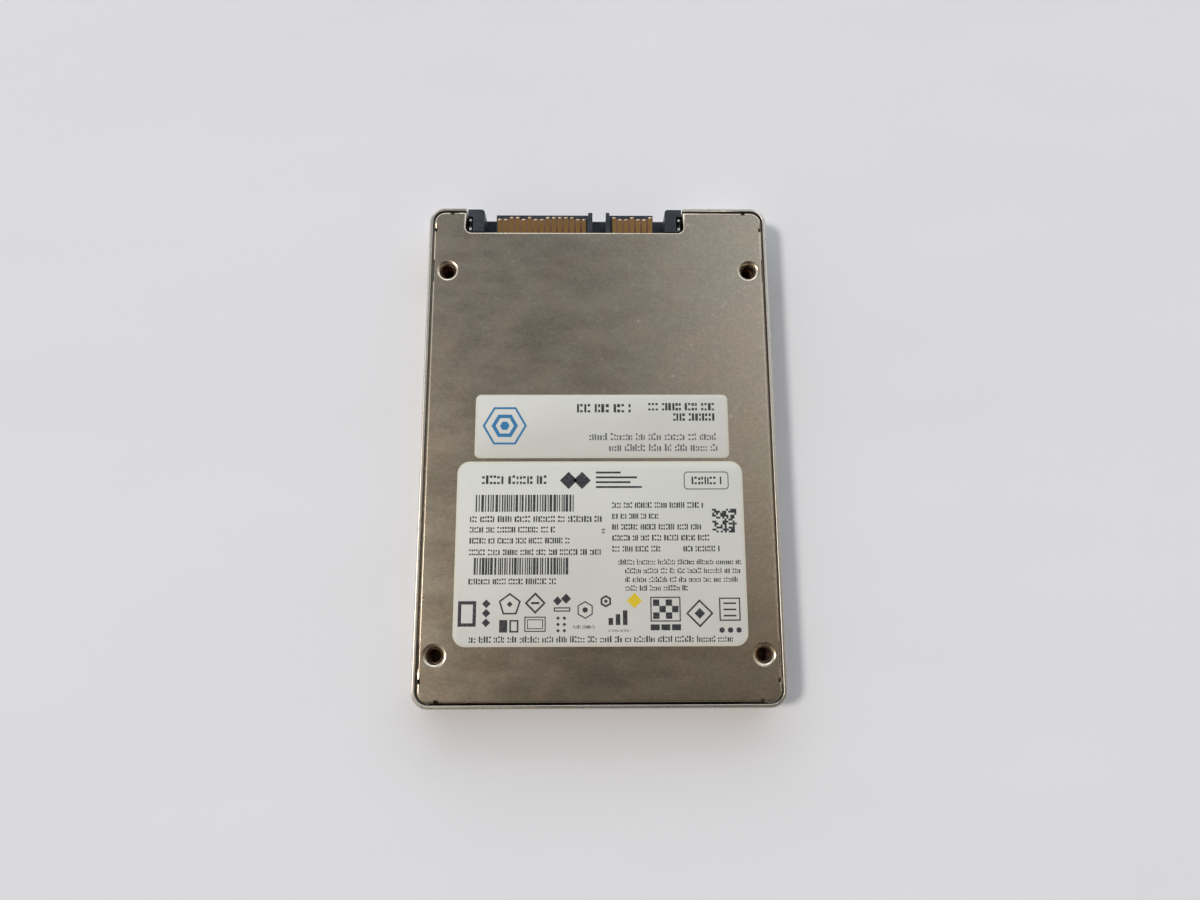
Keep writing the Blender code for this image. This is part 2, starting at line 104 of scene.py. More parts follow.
# Print, in mm: low X, high X, low Y, high Y. The rows hold ticks, never letters.
BLACK_ROWS = (
    (-22.7, -10.3, -8.2, -6.5),
    (-24.8, 0.7, -15.6, -14.4),
    (-24.8, -8.3, -17.6, -16.5),
    (-24.8, -5.6, -19.7, -18.6),
    (-24.8, 0.5, -21.9, -20.8),
    (-24.8, -8.0, -27.4, -26.3),
    (2.5, 20.3, -12.9, -11.8),
    (2.5, 11.5, -15.0, -14.0),
    (2.5, 19.6, -17.1, -16.0),
    (2.5, 21.2, -19.2, -18.1),
    (2.5, 11.6, -21.3, -20.2),
    (16.1, 22.9, -21.3, -20.2),
    (0.5, 1.2, -17.8, -16.9),
    (18.0, 23.9, -8.3, -6.8),
)
LOW_ROWS = (
    (3.6, 27.0, -23.75, -22.75),
    (4.9, 26.8, -25.4, -24.4),
    (4.9, 26.3, -27.05, -26.05),
    (4.9, 16.6, -28.65, -27.65),
    (-24.4, 25.0, -38.15, -37.0),
    (-4.9, -0.8, -35.6, -35.0),
    (1.6, 5.8, -36.2, -35.8),
)
SMALL_ROWS = (
    (-4.3, 6.4, 6.1, 7.8),
    (9.8, 22.6, 6.5, 8.0),
    (14.7, 22.6, 4.4, 5.9),
)
GREY_ROWS = (
    (-1.9, 23.2, 0.5, 1.9),
    (2.0, 23.35, -1.7, -0.3),
)
BAR_CODES = (
    (-23.8, -4.75, -13.6, -10.3),
    (-23.85, -5.8, -25.6, -22.4),
)
MODULE_SQUARE = (21.8, 26.5, -17.7, -13.1)
MODULE_COUNT = 12


# ---------------------------------------------------------------- settings


def length(name, description, value):
    return FloatProperty(name=name, description=description, default=value * MM, min=0.0,
                         precision=5, unit="LENGTH", subtype="DISTANCE")


def colour(name, description, value):
    return FloatVectorProperty(name=name, description=description, default=value, size=3,
                               min=0.0, max=1.0, subtype="COLOR")


class DriveSizes(bpy.types.PropertyGroup):
    """Lengths of the finish that the frame leaves open."""

    sheet_break: length("Sheet edge", "Rounding of the stamped sheets' edges", 0.12)
    sink_break: length("Countersink edge", "Rounding of the countersinks' edges", 0.32)
    notch_break: length("Notch edge", "Rounding of the cover's edge along the plug", 0.42)
    mould_break: length("Moulding edge", "Rounding of the plug's edges", 0.10)
    small_break: length("Small edge", "Rounding of contacts, clips and chips", 0.04)
    ink_raise: length("Ink height", "Height of the print above the paper", 0.012)
    paper_break: length("Paper edge", "Rounding of the label's upper edge", 0.03)
    thread_pitch: length("Thread pitch", "Pitch of the screw threads", 0.50)
    thread_depth: length("Thread depth", "How far the thread stands into its bore", 0.20)


class DriveColours(bpy.types.PropertyGroup):
    """Colours of the finish."""

    cover: colour("Cover", "Plated cover sheet", (0.59, 0.505, 0.395))
    shell: colour("Shell", "Plated base shell", (0.68, 0.635, 0.56))
    paper: colour("Paper", "Label paper", (0.71, 0.70, 0.655))
    ink: colour("Ink", "Black print", (0.035, 0.035, 0.04))
    grey_ink: colour("Grey ink", "Grey print", (0.13, 0.13, 0.14))
    blue_ink: colour("Blue ink", "Blue print", (0.035, 0.20, 0.42))
    yellow_ink: colour("Yellow ink", "Yellow print", (0.75, 0.55, 0.03))
    plastic: colour("Plug", "Plug moulding", (0.023, 0.028, 0.037))
    gold: colour("Contacts", "Gold of the contacts", (0.43, 0.235, 0.085))
    steel: colour("Steel", "Clips, blocks and screws", (0.66, 0.65, 0.63))
    board: colour("Board", "Solder mask", (0.012, 0.075, 0.035))
    floor: colour("Floor", "Pale floor", (0.83, 0.822, 0.845))


def sizes():
    return bpy.context.scene.drive_sizes


def colours():
    return bpy.context.scene.drive_colours


# ---------------------------------------------------------------- node helpers


def put(tree, node, socket, value):
    """Links a socket, or sets the value, of one input."""
    target = node.inputs[socket]
    if isinstance(value, bpy.types.NodeSocket):
        tree.links.new(value, target)
    elif target.type == "RGBA" and len(value) == 3:
        target.default_value = (*value, 1.0)
    else:
        target.default_value = value


def node(tree, kind, sockets, **settings):
    made = tree.nodes.new(kind)
    for key, value in settings.items():
        setattr(made, key, value)
    for socket, value in sockets.items():
        put(tree, made, socket, value)
    return made


def calc(tree, operation, a, b=0.0):
    return node(tree, "ShaderNodeMath", {0: a, 1: b}, operation=operation).outputs[0]


def times(tree, a, b):
    return calc(tree, "MULTIPLY", a, b)


def plus(tree, a, b):
    return calc(tree, "ADD", a, b)


def minus(tree, a, b):
    return calc(tree, "SUBTRACT", a, b)


def blend(tree, factor, a, b):
    return node(tree, "ShaderNodeMix", {0: factor, 6: a, 7: b}, data_type="RGBA").outputs[2]


def lay_over(tree, under, mask, strength, over):
    """Lays one colour over another where the mask is, as strongly as it says."""
    return blend(tree, times(tree, mask, strength), under, over)


def spread(tree, value, low, high, to_low=0.0, to_high=1.0):
    """Maps low..high smoothly to to_low..to_high."""
    made = node(tree, "ShaderNodeMapRange", {0: value, 1: low, 2: high, 3: to_low, 4: to_high},
                interpolation_type="SMOOTHSTEP")
    return made.outputs[0]


def noise(tree, vector, scale, detail=3.0, rough=0.55):
    made = node(tree, "ShaderNodeTexNoise",
                {"Vector": vector, "Scale": scale, "Detail": detail, "Roughness": rough})
    return made.outputs["Fac"]


def stretch(tree, vector, scale, turn=0.0):
    made = node(tree, "ShaderNodeMapping",
                {"Vector": vector, "Scale": scale, "Rotation": (0.0, 0.0, turn)})
    return made.outputs[0]


def new_group(name, inputs, output):
    """A shader node group with named sockets. Each input is (name, type, default)."""
    tree = bpy.data.node_groups.new(name, "ShaderNodeTree")
    for label, kind, default in inputs:
        socket = tree.interface.new_socket(label, in_out="INPUT", socket_type=kind)
        if default is not None:
            socket.default_value = default
    tree.interface.new_socket(output, in_out="OUTPUT", socket_type=VALUE)
    return tree, tree.nodes.new("NodeGroupInput").outputs, tree.nodes.new("NodeGroupOutput")


VECTOR = "NodeSocketVector"
VALUE = "NodeSocketFloat"


def mottle_group():
    """Cloudy tone: broad patches with finer blotches in them, centred on one half."""
    tree, into, out = new_group("cloudy tone", [
        ("Vector", VECTOR, None), ("Scale", VALUE, 60.0), ("Fine Share", VALUE, 0.35)], "Tone")
    broad = noise(tree, into["Vector"], into["Scale"], 2.0)
    fine = noise(tree, into["Vector"], times(tree, into["Scale"], 9.0), 4.0, 0.65)
    part = times(tree, minus(tree, fine, broad), into["Fine Share"])
    put(tree, out, "Tone", plus(tree, broad, part))
    return tree


def grain_group():
    """Long fine lines along X, as rolled sheet and drawn moulds leave them."""
    tree, into, out = new_group("rolling grain", [
        ("Vector", VECTOR, None), ("Fineness", VALUE, 1.0)], "Height")
    scaled = node(tree, "ShaderNodeVectorMath", {0: into["Vector"]}, operation="SCALE")
    put(tree, scaled, 3, into["Fineness"])
    lines = noise(tree, stretch(tree, scaled.outputs[0], (260.0, 5200.0, 900.0)), 1.0, 4.0, 0.7)
    peel = noise(tree, scaled.outputs[0], 2600.0, 2.0, 0.6)
    put(tree, out, "Height", plus(tree, lines, times(tree, peel, 0.6)))
    return tree


def speck_group():
    """Scattered small spots with uneven outlines: dents, pits or dust."""
    tree, into, out = new_group("specks", [
        ("Vector", VECTOR, None), ("Scale", VALUE, 400.0), ("Size", VALUE, 0.2),
        ("Share", VALUE, 0.2)], "Mask")
    bend = minus(tree, noise(tree, into["Vector"], times(tree, into["Scale"], 2.2), 2.0), 0.5)
    cells = node(tree, "ShaderNodeTexVoronoi", {"Vector": into["Vector"], "Scale": into["Scale"]})
    bent = times(tree, bend, times(tree, into["Size"], 2.2))
    inside = spread(tree, plus(tree, cells.outputs["Distance"], bent), into["Size"], 0.0)
    pick = node(tree, "ShaderNodeSeparateColor", {0: cells.outputs["Color"]})
    chosen = calc(tree, "LESS_THAN", pick.outputs[0], into["Share"])
    put(tree, out, "Mask", times(tree, inside, times(tree, chosen, pick.outputs[1])))
    return tree


def scratch_group():
    """Hair scratches that fade in and out."""
    tree, into, out = new_group("scratches", [
        ("Vector", VECTOR, None), ("Scale", VALUE, 30.0), ("Turn", VALUE, 0.4),
        ("Width", VALUE, 0.006)], "Mask")
    turn = node(tree, "ShaderNodeVectorRotate", {"Vector": into["Vector"], "Angle": into["Turn"]})
    lines = noise(tree, stretch(tree, turn.outputs[0], (1.0, 14.0, 1.0)), into["Scale"], 1.0)
    off = calc(tree, "ABSOLUTE", minus(tree, lines, 0.5))
    where = noise(tree, into["Vector"], 120.0, 2.0)
    put(tree, out, "Mask", times(tree, spread(tree, off, into["Width"], 0.0),
                                 spread(tree, where, 0.52, 0.68)))
    return tree


def border_group():
    """One at a round-cornered rectangle's border, fading to zero at Reach inside it."""
    tree, into, out = new_group("border", [
        ("Vector", VECTOR, None), ("Centre", VECTOR, (0.0, 0.0, 0.0)), ("Half X", VALUE, 0.03),
        ("Half Y", VALUE, 0.05), ("Radius", VALUE, 0.003), ("Reach", VALUE, 0.001),
        ("Ragged", VALUE, 0.5)], "Mask")
    moved = node(tree, "ShaderNodeVectorMath", {0: into["Vector"], 1: into["Centre"]},
                 operation="SUBTRACT")
    axes = node(tree, "ShaderNodeSeparateXYZ", {0: moved.outputs[0]})
    beyond = []
    for half, axis in (("Half X", axes.outputs[0]), ("Half Y", axes.outputs[1])):
        straight = minus(tree, into[half], into["Radius"])
        beyond.append(minus(tree, calc(tree, "ABSOLUTE", axis), straight))
    corner = node(tree, "ShaderNodeCombineXYZ", {0: calc(tree, "MAXIMUM", beyond[0], 0.0),
                                                 1: calc(tree, "MAXIMUM", beyond[1], 0.0)})
    round_part = node(tree, "ShaderNodeVectorMath", {0: corner.outputs[0]}, operation="LENGTH")
    straight_part = calc(tree, "MINIMUM", calc(tree, "MAXIMUM", beyond[0], beyond[1]), 0.0)
    depth = minus(tree, into["Radius"], round_part.outputs["Value"])
    depth = minus(tree, depth, straight_part)
    ragged = minus(tree, noise(tree, into["Vector"], 900.0, 4.0, 0.7), 0.5)
    swing = times(tree, ragged, into["Ragged"])
    share = plus(tree, calc(tree, "DIVIDE", depth, into["Reach"]), swing)
    put(tree, out, "Mask", spread(tree, share, 1.0, 0.0))
    return tree


GROUP_MAKERS = {"clouds": mottle_group, "grain": grain_group, "specks": speck_group,
                "scratches": scratch_group, "border": border_group}
GROUPS = {}


def effect(tree, name, sockets):
    """Places a shared effect group and returns its output."""
    if name not in GROUPS:
        GROUPS[name] = GROUP_MAKERS[name]()
    placed = node(tree, "ShaderNodeGroup", {}, node_tree=GROUPS[name])
    for socket, value in sockets.items():
        put(tree, placed, socket, value)
    return placed.outputs[0]


def clouds(tree, place, scale, fine_share):
    return effect(tree, "clouds", {"Vector": place, "Scale": scale, "Fine Share": fine_share})


def grain(tree, place, fineness):
    return effect(tree, "grain", {"Vector": place, "Fineness": fineness})


def specks(tree, place, scale, size, share):
    return effect(tree, "specks", {"Vector": place, "Scale": scale, "Size": size,
                                   "Share": share})


def border(tree, place, low, high, radius, reach, ragged):
    """The border of the rectangle between two corners."""
    centre = ((low[0] + high[0]) / 2, (low[1] + high[1]) / 2, 0.0)
    return effect(tree, "border", {
        "Vector": place, "Centre": centre, "Half X": (high[0] - low[0]) / 2,
        "Half Y": (high[1] - low[1]) / 2, "Radius": radius, "Reach": reach, "Ragged": ragged})


# ---------------------------------------------------------------- finishes


def new_finish(name):
    """A material, its tree, its shader and its Object coordinates."""
    material = bpy.data.materials.new(name)
    material.use_nodes = True
    tree = material.node_tree
    shader = tree.nodes["Principled BSDF"]
    place = tree.nodes.new("ShaderNodeTexCoord").outputs["Object"]
    return material, tree, shader, place


def raise_by(tree, shader, height, strength, distance):
    bump = node(tree, "ShaderNodeBump",
                {"Strength": strength, "Distance": distance, "Height": height})
    put(tree, shader, "Normal", bump.outputs[0])


def tint(value, factor):
    return tuple(min(1.0, channel * factor) for channel in value)


def shift(value, factors):
    return tuple(channel * factor for channel, factor in zip(value, factors))


def plated_sheet(name, base, node_name, radius, rough, worn, seam_shade_strength):
    """Satin plated sheet metal: clouds, grain, scuffs, a worn border and painted shade in the seam.
    """
    material, tree, shader, place = new_finish(name)
    low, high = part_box(node_name)
    tone = clouds(tree, place, 110.0, 0.9)
    paint = blend(tree, spread(tree, tone, 0.34, 0.66), tint(base, 0.89), tint(base, 1.09))
    hue = noise(tree, place, 170.0, 1.2)
    warm = shift(base, (1.10, 0.975, 0.93))
    green = shift(base, (0.95, 1.01, 0.95))
    paint = blend(tree, spread(tree, hue, 0.47, 0.66, 0.0, 0.6), paint, warm)
    paint = blend(tree, spread(tree, hue, 0.45, 0.32, 0.0, 0.6), paint, green)
    salt = noise(tree, stretch(tree, place, (1500.0, 2600.0, 1500.0)), 1.0, 3.0, 0.7)
    paint = blend(tree, spread(tree, salt, 0.35, 0.65), tint(base, 0.85), paint)
    edge = border(tree, place, low, high, radius, worn, ragged=0.9)
    pits = specks(tree, place, scale=1150.0, size=0.38, share=0.55)
    height = node(tree, "ShaderNodeSeparateXYZ", {0: place}).outputs[2]
    near_top = spread(tree, height, high[2] - WORN_DEPTH, high[2] - SHADE_AND_WEAR_TOP, 0.12, 1.0)
    worn_pits = times(tree, pits, times(tree, edge, near_top))
    # Painted highlights: the dent specks are lightened as glints; the hair scratches are lightened
    # as wear.
    dents = specks(tree, place, scale=270.0, size=0.14, share=0.24)
    hairs = effect(tree, "scratches", {"Vector": place, "Scale": 26.0, "Turn": 0.9,
                                       "Width": 0.004})
    light = calc(tree, "MAXIMUM", times(tree, dents, 0.85), times(tree, hairs, 0.30))
    paint = blend(tree, light, paint, tint(base, 1.75))
    paint = lay_over(tree, paint, edge, 0.35, tint(base, 1.2))
    paint = lay_over(tree, paint, worn_pits, 0.95, tint(base, 0.28))
    stains = specks(tree, place, scale=120.0, size=0.16, share=0.10)
    paint = lay_over(tree, paint, stains, 0.12, tint(base, 0.6))
    # Painted shade: the inside of the wall, from just under the rim down into the seam, is darkened
    # where shade falls.
    wall = border(tree, place, low, high, radius, WALL * 0.95, ragged=0.2)
    below = spread(tree, height, high[2] - SHADE_AND_WEAR_TOP, high[2] - SEAM_SHADE_FULL)
    above = spread(tree, height, high[2] - SEAM_SHADE_END, high[2] - SEAM_SHADE_END + SHADE_AND_WEAR_TOP)
    seam_shade_mask = times(tree, minus(tree, 1.0, wall), times(tree, below, above))
    paint = lay_over(tree, paint, seam_shade_mask, seam_shade_strength, tint(base, 0.14))
    put(tree, shader, "Base Color", paint)
    put(tree, shader, "Metallic", 1.0)
    smear = noise(tree, stretch(tree, place, (90.0, 220.0, 90.0)), 1.0, 4.0, 0.65)
    put(tree, shader, "Roughness", spread(tree, smear, 0.3, 0.7, rough - 0.02, rough + 0.03))
    raise_by(tree, shader, grain(tree, place, 1.0), 0.2, 0.006 * MM)
    return material


def label_paper(name, base, node_name, radius):
    """Coated label paper with fibres, handling smudges and a yellowed edge."""
    material, tree, shader, place = new_finish(name)
    low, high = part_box(node_name)
    tone = clouds(tree, place, 55.0, 0.25)
    paint = blend(tree, spread(tree, tone, 0.3, 0.7), tint(base, 0.965), tint(base, 1.02))
    edge = border(tree, place, low, high, radius, 0.7 * MM, ragged=0.9)
    paint = lay_over(tree, paint, edge, 0.8, shift(base, (0.93, 0.90, 0.76)))
    dust = specks(tree, place, scale=420.0, size=0.09, share=0.10)
    paint = lay_over(tree, paint, dust, 0.5, tint(base, 0.55))
    put(tree, shader, "Base Color", paint)
    put(tree, shader, "Roughness", spread(tree, tone, 0.3, 0.7, 0.42, 0.56))
    put(tree, shader, "Specular IOR Level", 0.35)
    fibre = noise(tree, stretch(tree, place, (900.0, 3600.0, 900.0), 0.6), 1.0, 4.0, 0.7)
    ripple = times(tree, noise(tree, place, 45.0, 1.0), 6.0)
    raise_by(tree, shader, plus(tree, fibre, ripple), 0.15, 0.01 * MM)
    return material


def print_ink(name, base, fade):
    """Thermal print: dense, with small thin places."""
    material, tree, shader, place = new_finish(name)
    thin = noise(tree, place, 2600.0, 3.0, 0.7)
    lighter = tuple(channel + (0.42 - channel) * fade for channel in base)
    put(tree, shader, "Base Color", blend(tree, spread(tree, thin, 0.5, 0.75), base, lighter))
    put(tree, shader, "Roughness", spread(tree, thin, 0.3, 0.7, 0.38, 0.55))
    put(tree, shader, "Specular IOR Level", 0.35)
    raise_by(tree, shader, thin, 0.1, 0.004 * MM)
    return material


def moulded(name, base, rough, streak):
    """Glass-filled moulding: faint flow streaks, fine texture and a little dust."""
    material, tree, shader, place = new_finish(name)
    flow = noise(tree, stretch(tree, place, (240.0, 1300.0, 700.0), 0.2), 1.0, 4.0, 0.65)
    paint = blend(tree, spread(tree, flow, 0.42, 0.72), tint(base, 0.8), tint(base, streak))
    dust = specks(tree, place, scale=1300.0, size=0.14, share=0.10)
    paint = lay_over(tree, paint, dust, 0.6, tuple(channel + 0.12 for channel in base))
    put(tree, shader, "Base Color", paint)
    put(tree, shader, "Roughness", spread(tree, flow, 0.3, 0.7, rough - 0.07, rough + 0.08))
    fine = noise(tree, place, 4200.0, 3.0, 0.7)
    raise_by(tree, shader, plus(tree, fine, flow), 0.25, 0.008 * MM)
    return material


def bright_metal(name, base, rough, spread_by, dull):
    """Small plated or turned metal parts, with tarnish in patches and a fine grain."""
    material, tree, shader, place = new_finish(name)
    tone = clouds(tree, place, 330.0, 0.5)
    paint = blend(tree, spread(tree, tone, 0.38, 0.66), tint(base, 1.12), tint(base, dull))
    spots = specks(tree, place, scale=2100.0, size=0.15, share=0.25)
    paint = lay_over(tree, paint, spots, 0.5, tint(base, 0.45))
    put(tree, shader, "Base Color", paint)
    put(tree, shader, "Metallic", 1.0)
    put(tree, shader, "Roughness", spread(tree, tone, 0.3, 0.7, rough, rough + spread_by))
    raise_by(tree, shader, grain(tree, place, 1.6), 0.2, 0.004 * MM)
    return material


def solder_mask(name, base):
    """Glossy lacquer over copper tracks, which show as a slightly lighter pattern."""
    material, tree, shader, place = new_finish(name)
    lanes = node(tree, "ShaderNodeTexBrick", {
        "Vector": stretch(tree, place, (1.0, 1.0, 1.0), math.radians(90)),
        "Color1": (1.0, 1.0, 1.0), "Color2": (0.72, 0.72, 0.72), "Mortar": (0.0, 0.0, 0.0),
        "Scale": 190.0, "Mortar Size": 0.06, "Mortar Smooth": 0.4, "Brick Width": 4.0,
        "Row Height": 0.16}, offset=0.37)
    grey = node(tree, "ShaderNodeRGBToBW", {0: lanes.outputs["Color"]}).outputs[0]
    where = spread(tree, noise(tree, place, 90.0, 1.0), 0.42, 0.5)
    tracks = times(tree, grey, where)
    paint = blend(tree, tracks, base, shift(base, (2.4, 1.7, 1.5)))
    vias = specks(tree, place, scale=520.0, size=0.12, share=0.3)
    put(tree, shader, "Base Color", blend(tree, vias, paint, (0.35, 0.30, 0.16)))
    put(tree, shader, "Roughness", spread(tree, where, 0.0, 1.0, 0.28, 0.38))
    raise_by(tree, shader, tracks, 0.4, 0.02 * MM)
    return material


def soft_pad(name, base):
    """Silicone pad with a woven backing seen faintly through it."""
    material, tree, shader, place = new_finish(name)
    cells = node(tree, "ShaderNodeTexVoronoi", {"Vector": place, "Scale": 1600.0})
    weave = cells.outputs["Distance"]
    put(tree, shader, "Base Color",
        blend(tree, spread(tree, weave, 0.1, 0.7), tint(base, 1.05), tint(base, 0.82)))
    put(tree, shader, "Roughness", spread(tree, weave, 0.0, 0.8, 0.6, 0.8))
    raise_by(tree, shader, weave, 0.4, 0.03 * MM)
    return material


def floor_sheet(name, base):
    """A pale sheet with very faint folds and a few specks of dust."""
    material, tree, shader, place = new_finish(name)
    tone = clouds(tree, place, 7.0, 0.2)
    paint = blend(tree, spread(tree, tone, 0.3, 0.7), tint(base, 0.985), tint(base, 1.0))
    dust = specks(tree, place, scale=55.0, size=0.035, share=0.16)
    put(tree, shader, "Base Color", lay_over(tree, paint, dust, 0.28, tint(base, 0.45)))
    put(tree, shader, "Roughness", spread(tree, tone, 0.3, 0.7, 0.55, 0.68))
    put(tree, shader, "Specular IOR Level", 0.25)
    folds = noise(tree, stretch(tree, place, (9.0, 22.0, 9.0), 0.25), 1.0, 2.0, 0.4)
    fine = times(tree, noise(tree, place, 1500.0, 3.0), 0.004)
    raise_by(tree, shader, plus(tree, folds, fine), 0.35, 3.0 * MM)
    return material


# Each finish: its maker, its colour or the name of a colour setting, and the maker's values.
FINISH_TABLE = {
    # the part, corner radius, roughness, width of the worn border, painted shade in the seam
    "cover metal": (plated_sheet, "cover", "cover_plate", INNER_RADIUS, 0.28, 0.5 * MM, 0.0),
    "shell metal": (plated_sheet, "shell", "base_shell", OUTER_RADIUS, 0.33, 0.9 * MM, 0.50),
    # the part, corner radius
    "large label paper": (label_paper, "paper", "label_large", LABELS[0][2] * MM),
    "small label paper": (label_paper, "paper", "label_small", LABELS[1][2] * MM),
    # how far thin places fade
    "black print": (print_ink, "ink", 0.30),
    "grey print": (print_ink, "grey_ink", 0.20),
    "blue print": (print_ink, "blue_ink", 0.12),
    "yellow print": (print_ink, "yellow_ink", 0.10),
    # roughness, brightness of the streaks
    "plug moulding": (moulded, "plastic", 0.42, 1.5),
    "chip epoxy": (moulded, (0.018, 0.018, 0.020), 0.50, 1.3),
    "ferrite": (moulded, (0.055, 0.055, 0.058), 0.62, 1.4),
    "insulating film": (moulded, (0.020, 0.026, 0.036), 0.28, 1.3),
    "capacitor resin": (moulded, (0.42, 0.24, 0.05), 0.40, 1.2),
    "ceramic": (moulded, (0.36, 0.26, 0.16), 0.45, 1.2),
    "amber bed": (moulded, (0.15, 0.062, 0.022), 0.60, 1.3),
    # lowest roughness, how much it varies, brightness of the tarnish
    "contact gold": (bright_metal, "gold", 0.26, 0.16, 0.72),
    # painted highlight: pale metal for the contacts' tips
    "contact tin": (bright_metal, (0.60, 0.52, 0.42), 0.30, 0.15, 0.75),
    "clip metal": (bright_metal, (0.82, 0.81, 0.79), 0.20, 0.10, 0.85),
    "block metal": (bright_metal, "steel", 0.30, 0.15, 0.70),
    # painted shade: dark brown for the linings, floors and threads of the screw bores
    "oiled thread": (bright_metal, (0.17, 0.095, 0.06), 0.38, 0.15, 0.60),
    "screw steel": (bright_metal, "steel", 0.24, 0.15, 0.80),
    "can metal": (bright_metal, (0.74, 0.73, 0.71), 0.25, 0.12, 0.85),
    "solder": (bright_metal, (0.70, 0.70, 0.69), 0.28, 0.12, 0.85),
    "solder mask": (solder_mask, "board"),
    "thermal pad": (soft_pad, (0.30, 0.36, 0.42)),
    "pale floor": (floor_sheet, "floor"),
}
FINISHES = {}


def finish(name):
    """The material of that name, made the first time it is asked for."""
    if name not in FINISHES:
        maker, base, *values = FINISH_TABLE[name]
        if isinstance(base, str):
            base = tuple(getattr(colours(), base))
        FINISHES[name] = maker(name, base, *values)
    return FINISHES[name]


# ---------------------------------------------------------------- modelling helpers


def new_piece(name, bm, finish_name, body, replaced=()):
    """Turns a bmesh into a finished piece that rides on a body."""
    mesh = bpy.data.meshes.new(name)
    bm.to_mesh(mesh)
    bm.free()
    mesh.shade_smooth()
    mesh.set_sharp_from_angle(angle=SMOOTH_ANGLE)
    mesh.materials.append(finish(finish_name))
    piece = bpy.data.objects.new(name, mesh)
    bpy.context.scene.collection.objects.link(piece)
    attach(piece, body)
    if replaced:
        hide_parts(*replaced)
    return piece


def soften(bm, geometry, width, segments=1, affect="EDGES"):
    """Bevels edges, or the corners of a flat outline."""
    bmesh.ops.bevel(bm, geom=geometry, offset=width, segments=segments, profile=0.5,
                    affect=affect, material=-1, offset_type="OFFSET")


def round_where(bm, test, width, segments):
    """Rounds the sharp edges whose two ends pass the test."""
    chosen = [edge for edge in bm.edges if len(edge.link_faces) == 2
              and edge.calc_face_angle() > BREAK_ANGLE and all(test(v.co) for v in edge.verts)]
    soften(bm, chosen, width, segments)


def verts_of(geometry):
    return [item for item in geometry if isinstance(item, bmesh.types.BMVert)]


def thicken(bm, faces, height):
    """Raises flat faces into a closed solid and returns its upper corners."""
    raised = bmesh.ops.extrude_face_region(bm, geom=faces, use_keep_orig=True)["geom"]
    top = verts_of(raised)
    bmesh.ops.translate(bm, verts=top, vec=(0.0, 0.0, height))
    return top


def flatten_faces(piece):
    """Leans each normal towards the largest face beside it, so flats shade flat."""
    flats = piece.modifiers.new("flat faces", "WEIGHTED_NORMAL")
    flats.mode = "FACE_AREA"
    flats.weight = 100
    flats.keep_sharp = False


def break_edges(piece, width, segments=2):
    """Rounds a piece's sharp edges and keeps its flats flat."""
    bevel = piece.modifiers.new("broken edges", "BEVEL")
    bevel.width = width
    bevel.segments = segments
    bevel.limit_method = "ANGLE"
    bevel.angle_limit = BREAK_ANGLE
    bevel.use_clamp_overlap = True
    flatten_faces(piece)
    return piece


def merged_copy(node_name):
    """A bmesh of a frame part, with its triangles merged and its flats rejoined."""
    bm = bmesh.new()
    bm.from_mesh(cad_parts[node_name].data)
    bmesh.ops.remove_doubles(bm, verts=bm.verts, dist=MERGE)
    bmesh.ops.dissolve_limit(bm, angle_limit=FLAT_ANGLE, verts=bm.verts, edges=bm.edges,
                             use_dissolve_boundaries=False, delimit={"NORMAL"})
    return bm


def refine(node_name, name, finish_name, body, width, segments=2):
    """A frame part with its edges rounded, which stands for the plain one."""
    piece = new_piece(name, merged_copy(node_name), finish_name, body, (node_name,))
    return break_edges(piece, width, segments)


def block(bm, low, high):
    """Adds a box between two corners."""
    size = [b - a for a, b in zip(low, high)]
    middle = [(a + b) / 2 for a, b in zip(low, high)]
    place = Matrix.Translation(middle) @ Matrix.Diagonal((*size, 1.0))
    return bmesh.ops.create_cube(bm, size=1.0, matrix=place)["verts"]


def disc(bm, centre, radius, low, high, sides, turn=0.0, narrow=1.0):
    """Adds a short upright prism; narrow is the top radius over the bottom radius."""
    place = Matrix.Translation((centre[0], centre[1], (low + high) / 2))
    place = place @ Matrix.Rotation(turn, 4, "Z")
    made = bmesh.ops.create_cone(bm, cap_ends=True, segments=sides, radius1=radius,
                                 radius2=radius * narrow, depth=high - low, matrix=place)
    return made["verts"]


def hoop(bm, centre, outer, inner, low, high, sides, turn=0.0):
    """Adds a flat ring or a polygon's outline, as a closed solid."""
    place = Matrix.Translation((centre[0], centre[1], low)) @ Matrix.Rotation(turn, 4, "Z")
    rim = bmesh.ops.create_circle(bm, cap_ends=False, radius=outer, segments=sides, matrix=place)
    rim_edges = list({edge for vert in rim["verts"] for edge in vert.link_edges})
    inward = bmesh.ops.extrude_edge_only(bm, edges=rim_edges)["geom"]
    inner_verts = verts_of(inward)
    faces = [item for item in inward if isinstance(item, bmesh.types.BMFace)]
    about = Matrix.Translation((-centre[0], -centre[1], 0.0))
    ratio = inner / outer
    bmesh.ops.scale(bm, vec=(ratio, ratio, 1.0), space=about, verts=inner_verts)
    top = thicken(bm, faces, high - low)
    every = {face for vert in rim["verts"] + inner_verts + top for face in vert.link_faces}
    bmesh.ops.recalc_face_normals(bm, faces=list(every))
    return rim["verts"] + inner_verts + top


def rounded_rectangle(low, high, radius, segments):
    """A flat face with round corners, at the lower corner's height."""
    bm = bmesh.new()
    middle = ((low[0] + high[0]) / 2, (low[1] + high[1]) / 2, low[2])
    place = Matrix.Translation(middle) @ Matrix.Diagonal((high[0] - low[0], high[1] - low[1], 1, 1))
    bmesh.ops.create_grid(bm, x_segments=1, y_segments=1, size=0.5, matrix=place)
    soften(bm, bm.verts[:], radius, segments, "VERTICES")
    return bm


def rounded_sheet(low, high, radius, edge):
    """A thin sheet with round corners and a softened upper edge."""
    bm = rounded_rectangle(low, high, radius, 10)
    top = set(thicken(bm, bm.faces[:], high[2] - low[2]))
    bmesh.ops.recalc_face_normals(bm, faces=bm.faces)
    soften(bm, [item for item in bm.edges if all(v in top for v in item.verts)], edge, 2)
    return bm


# ---------------------------------------------------------------- stage


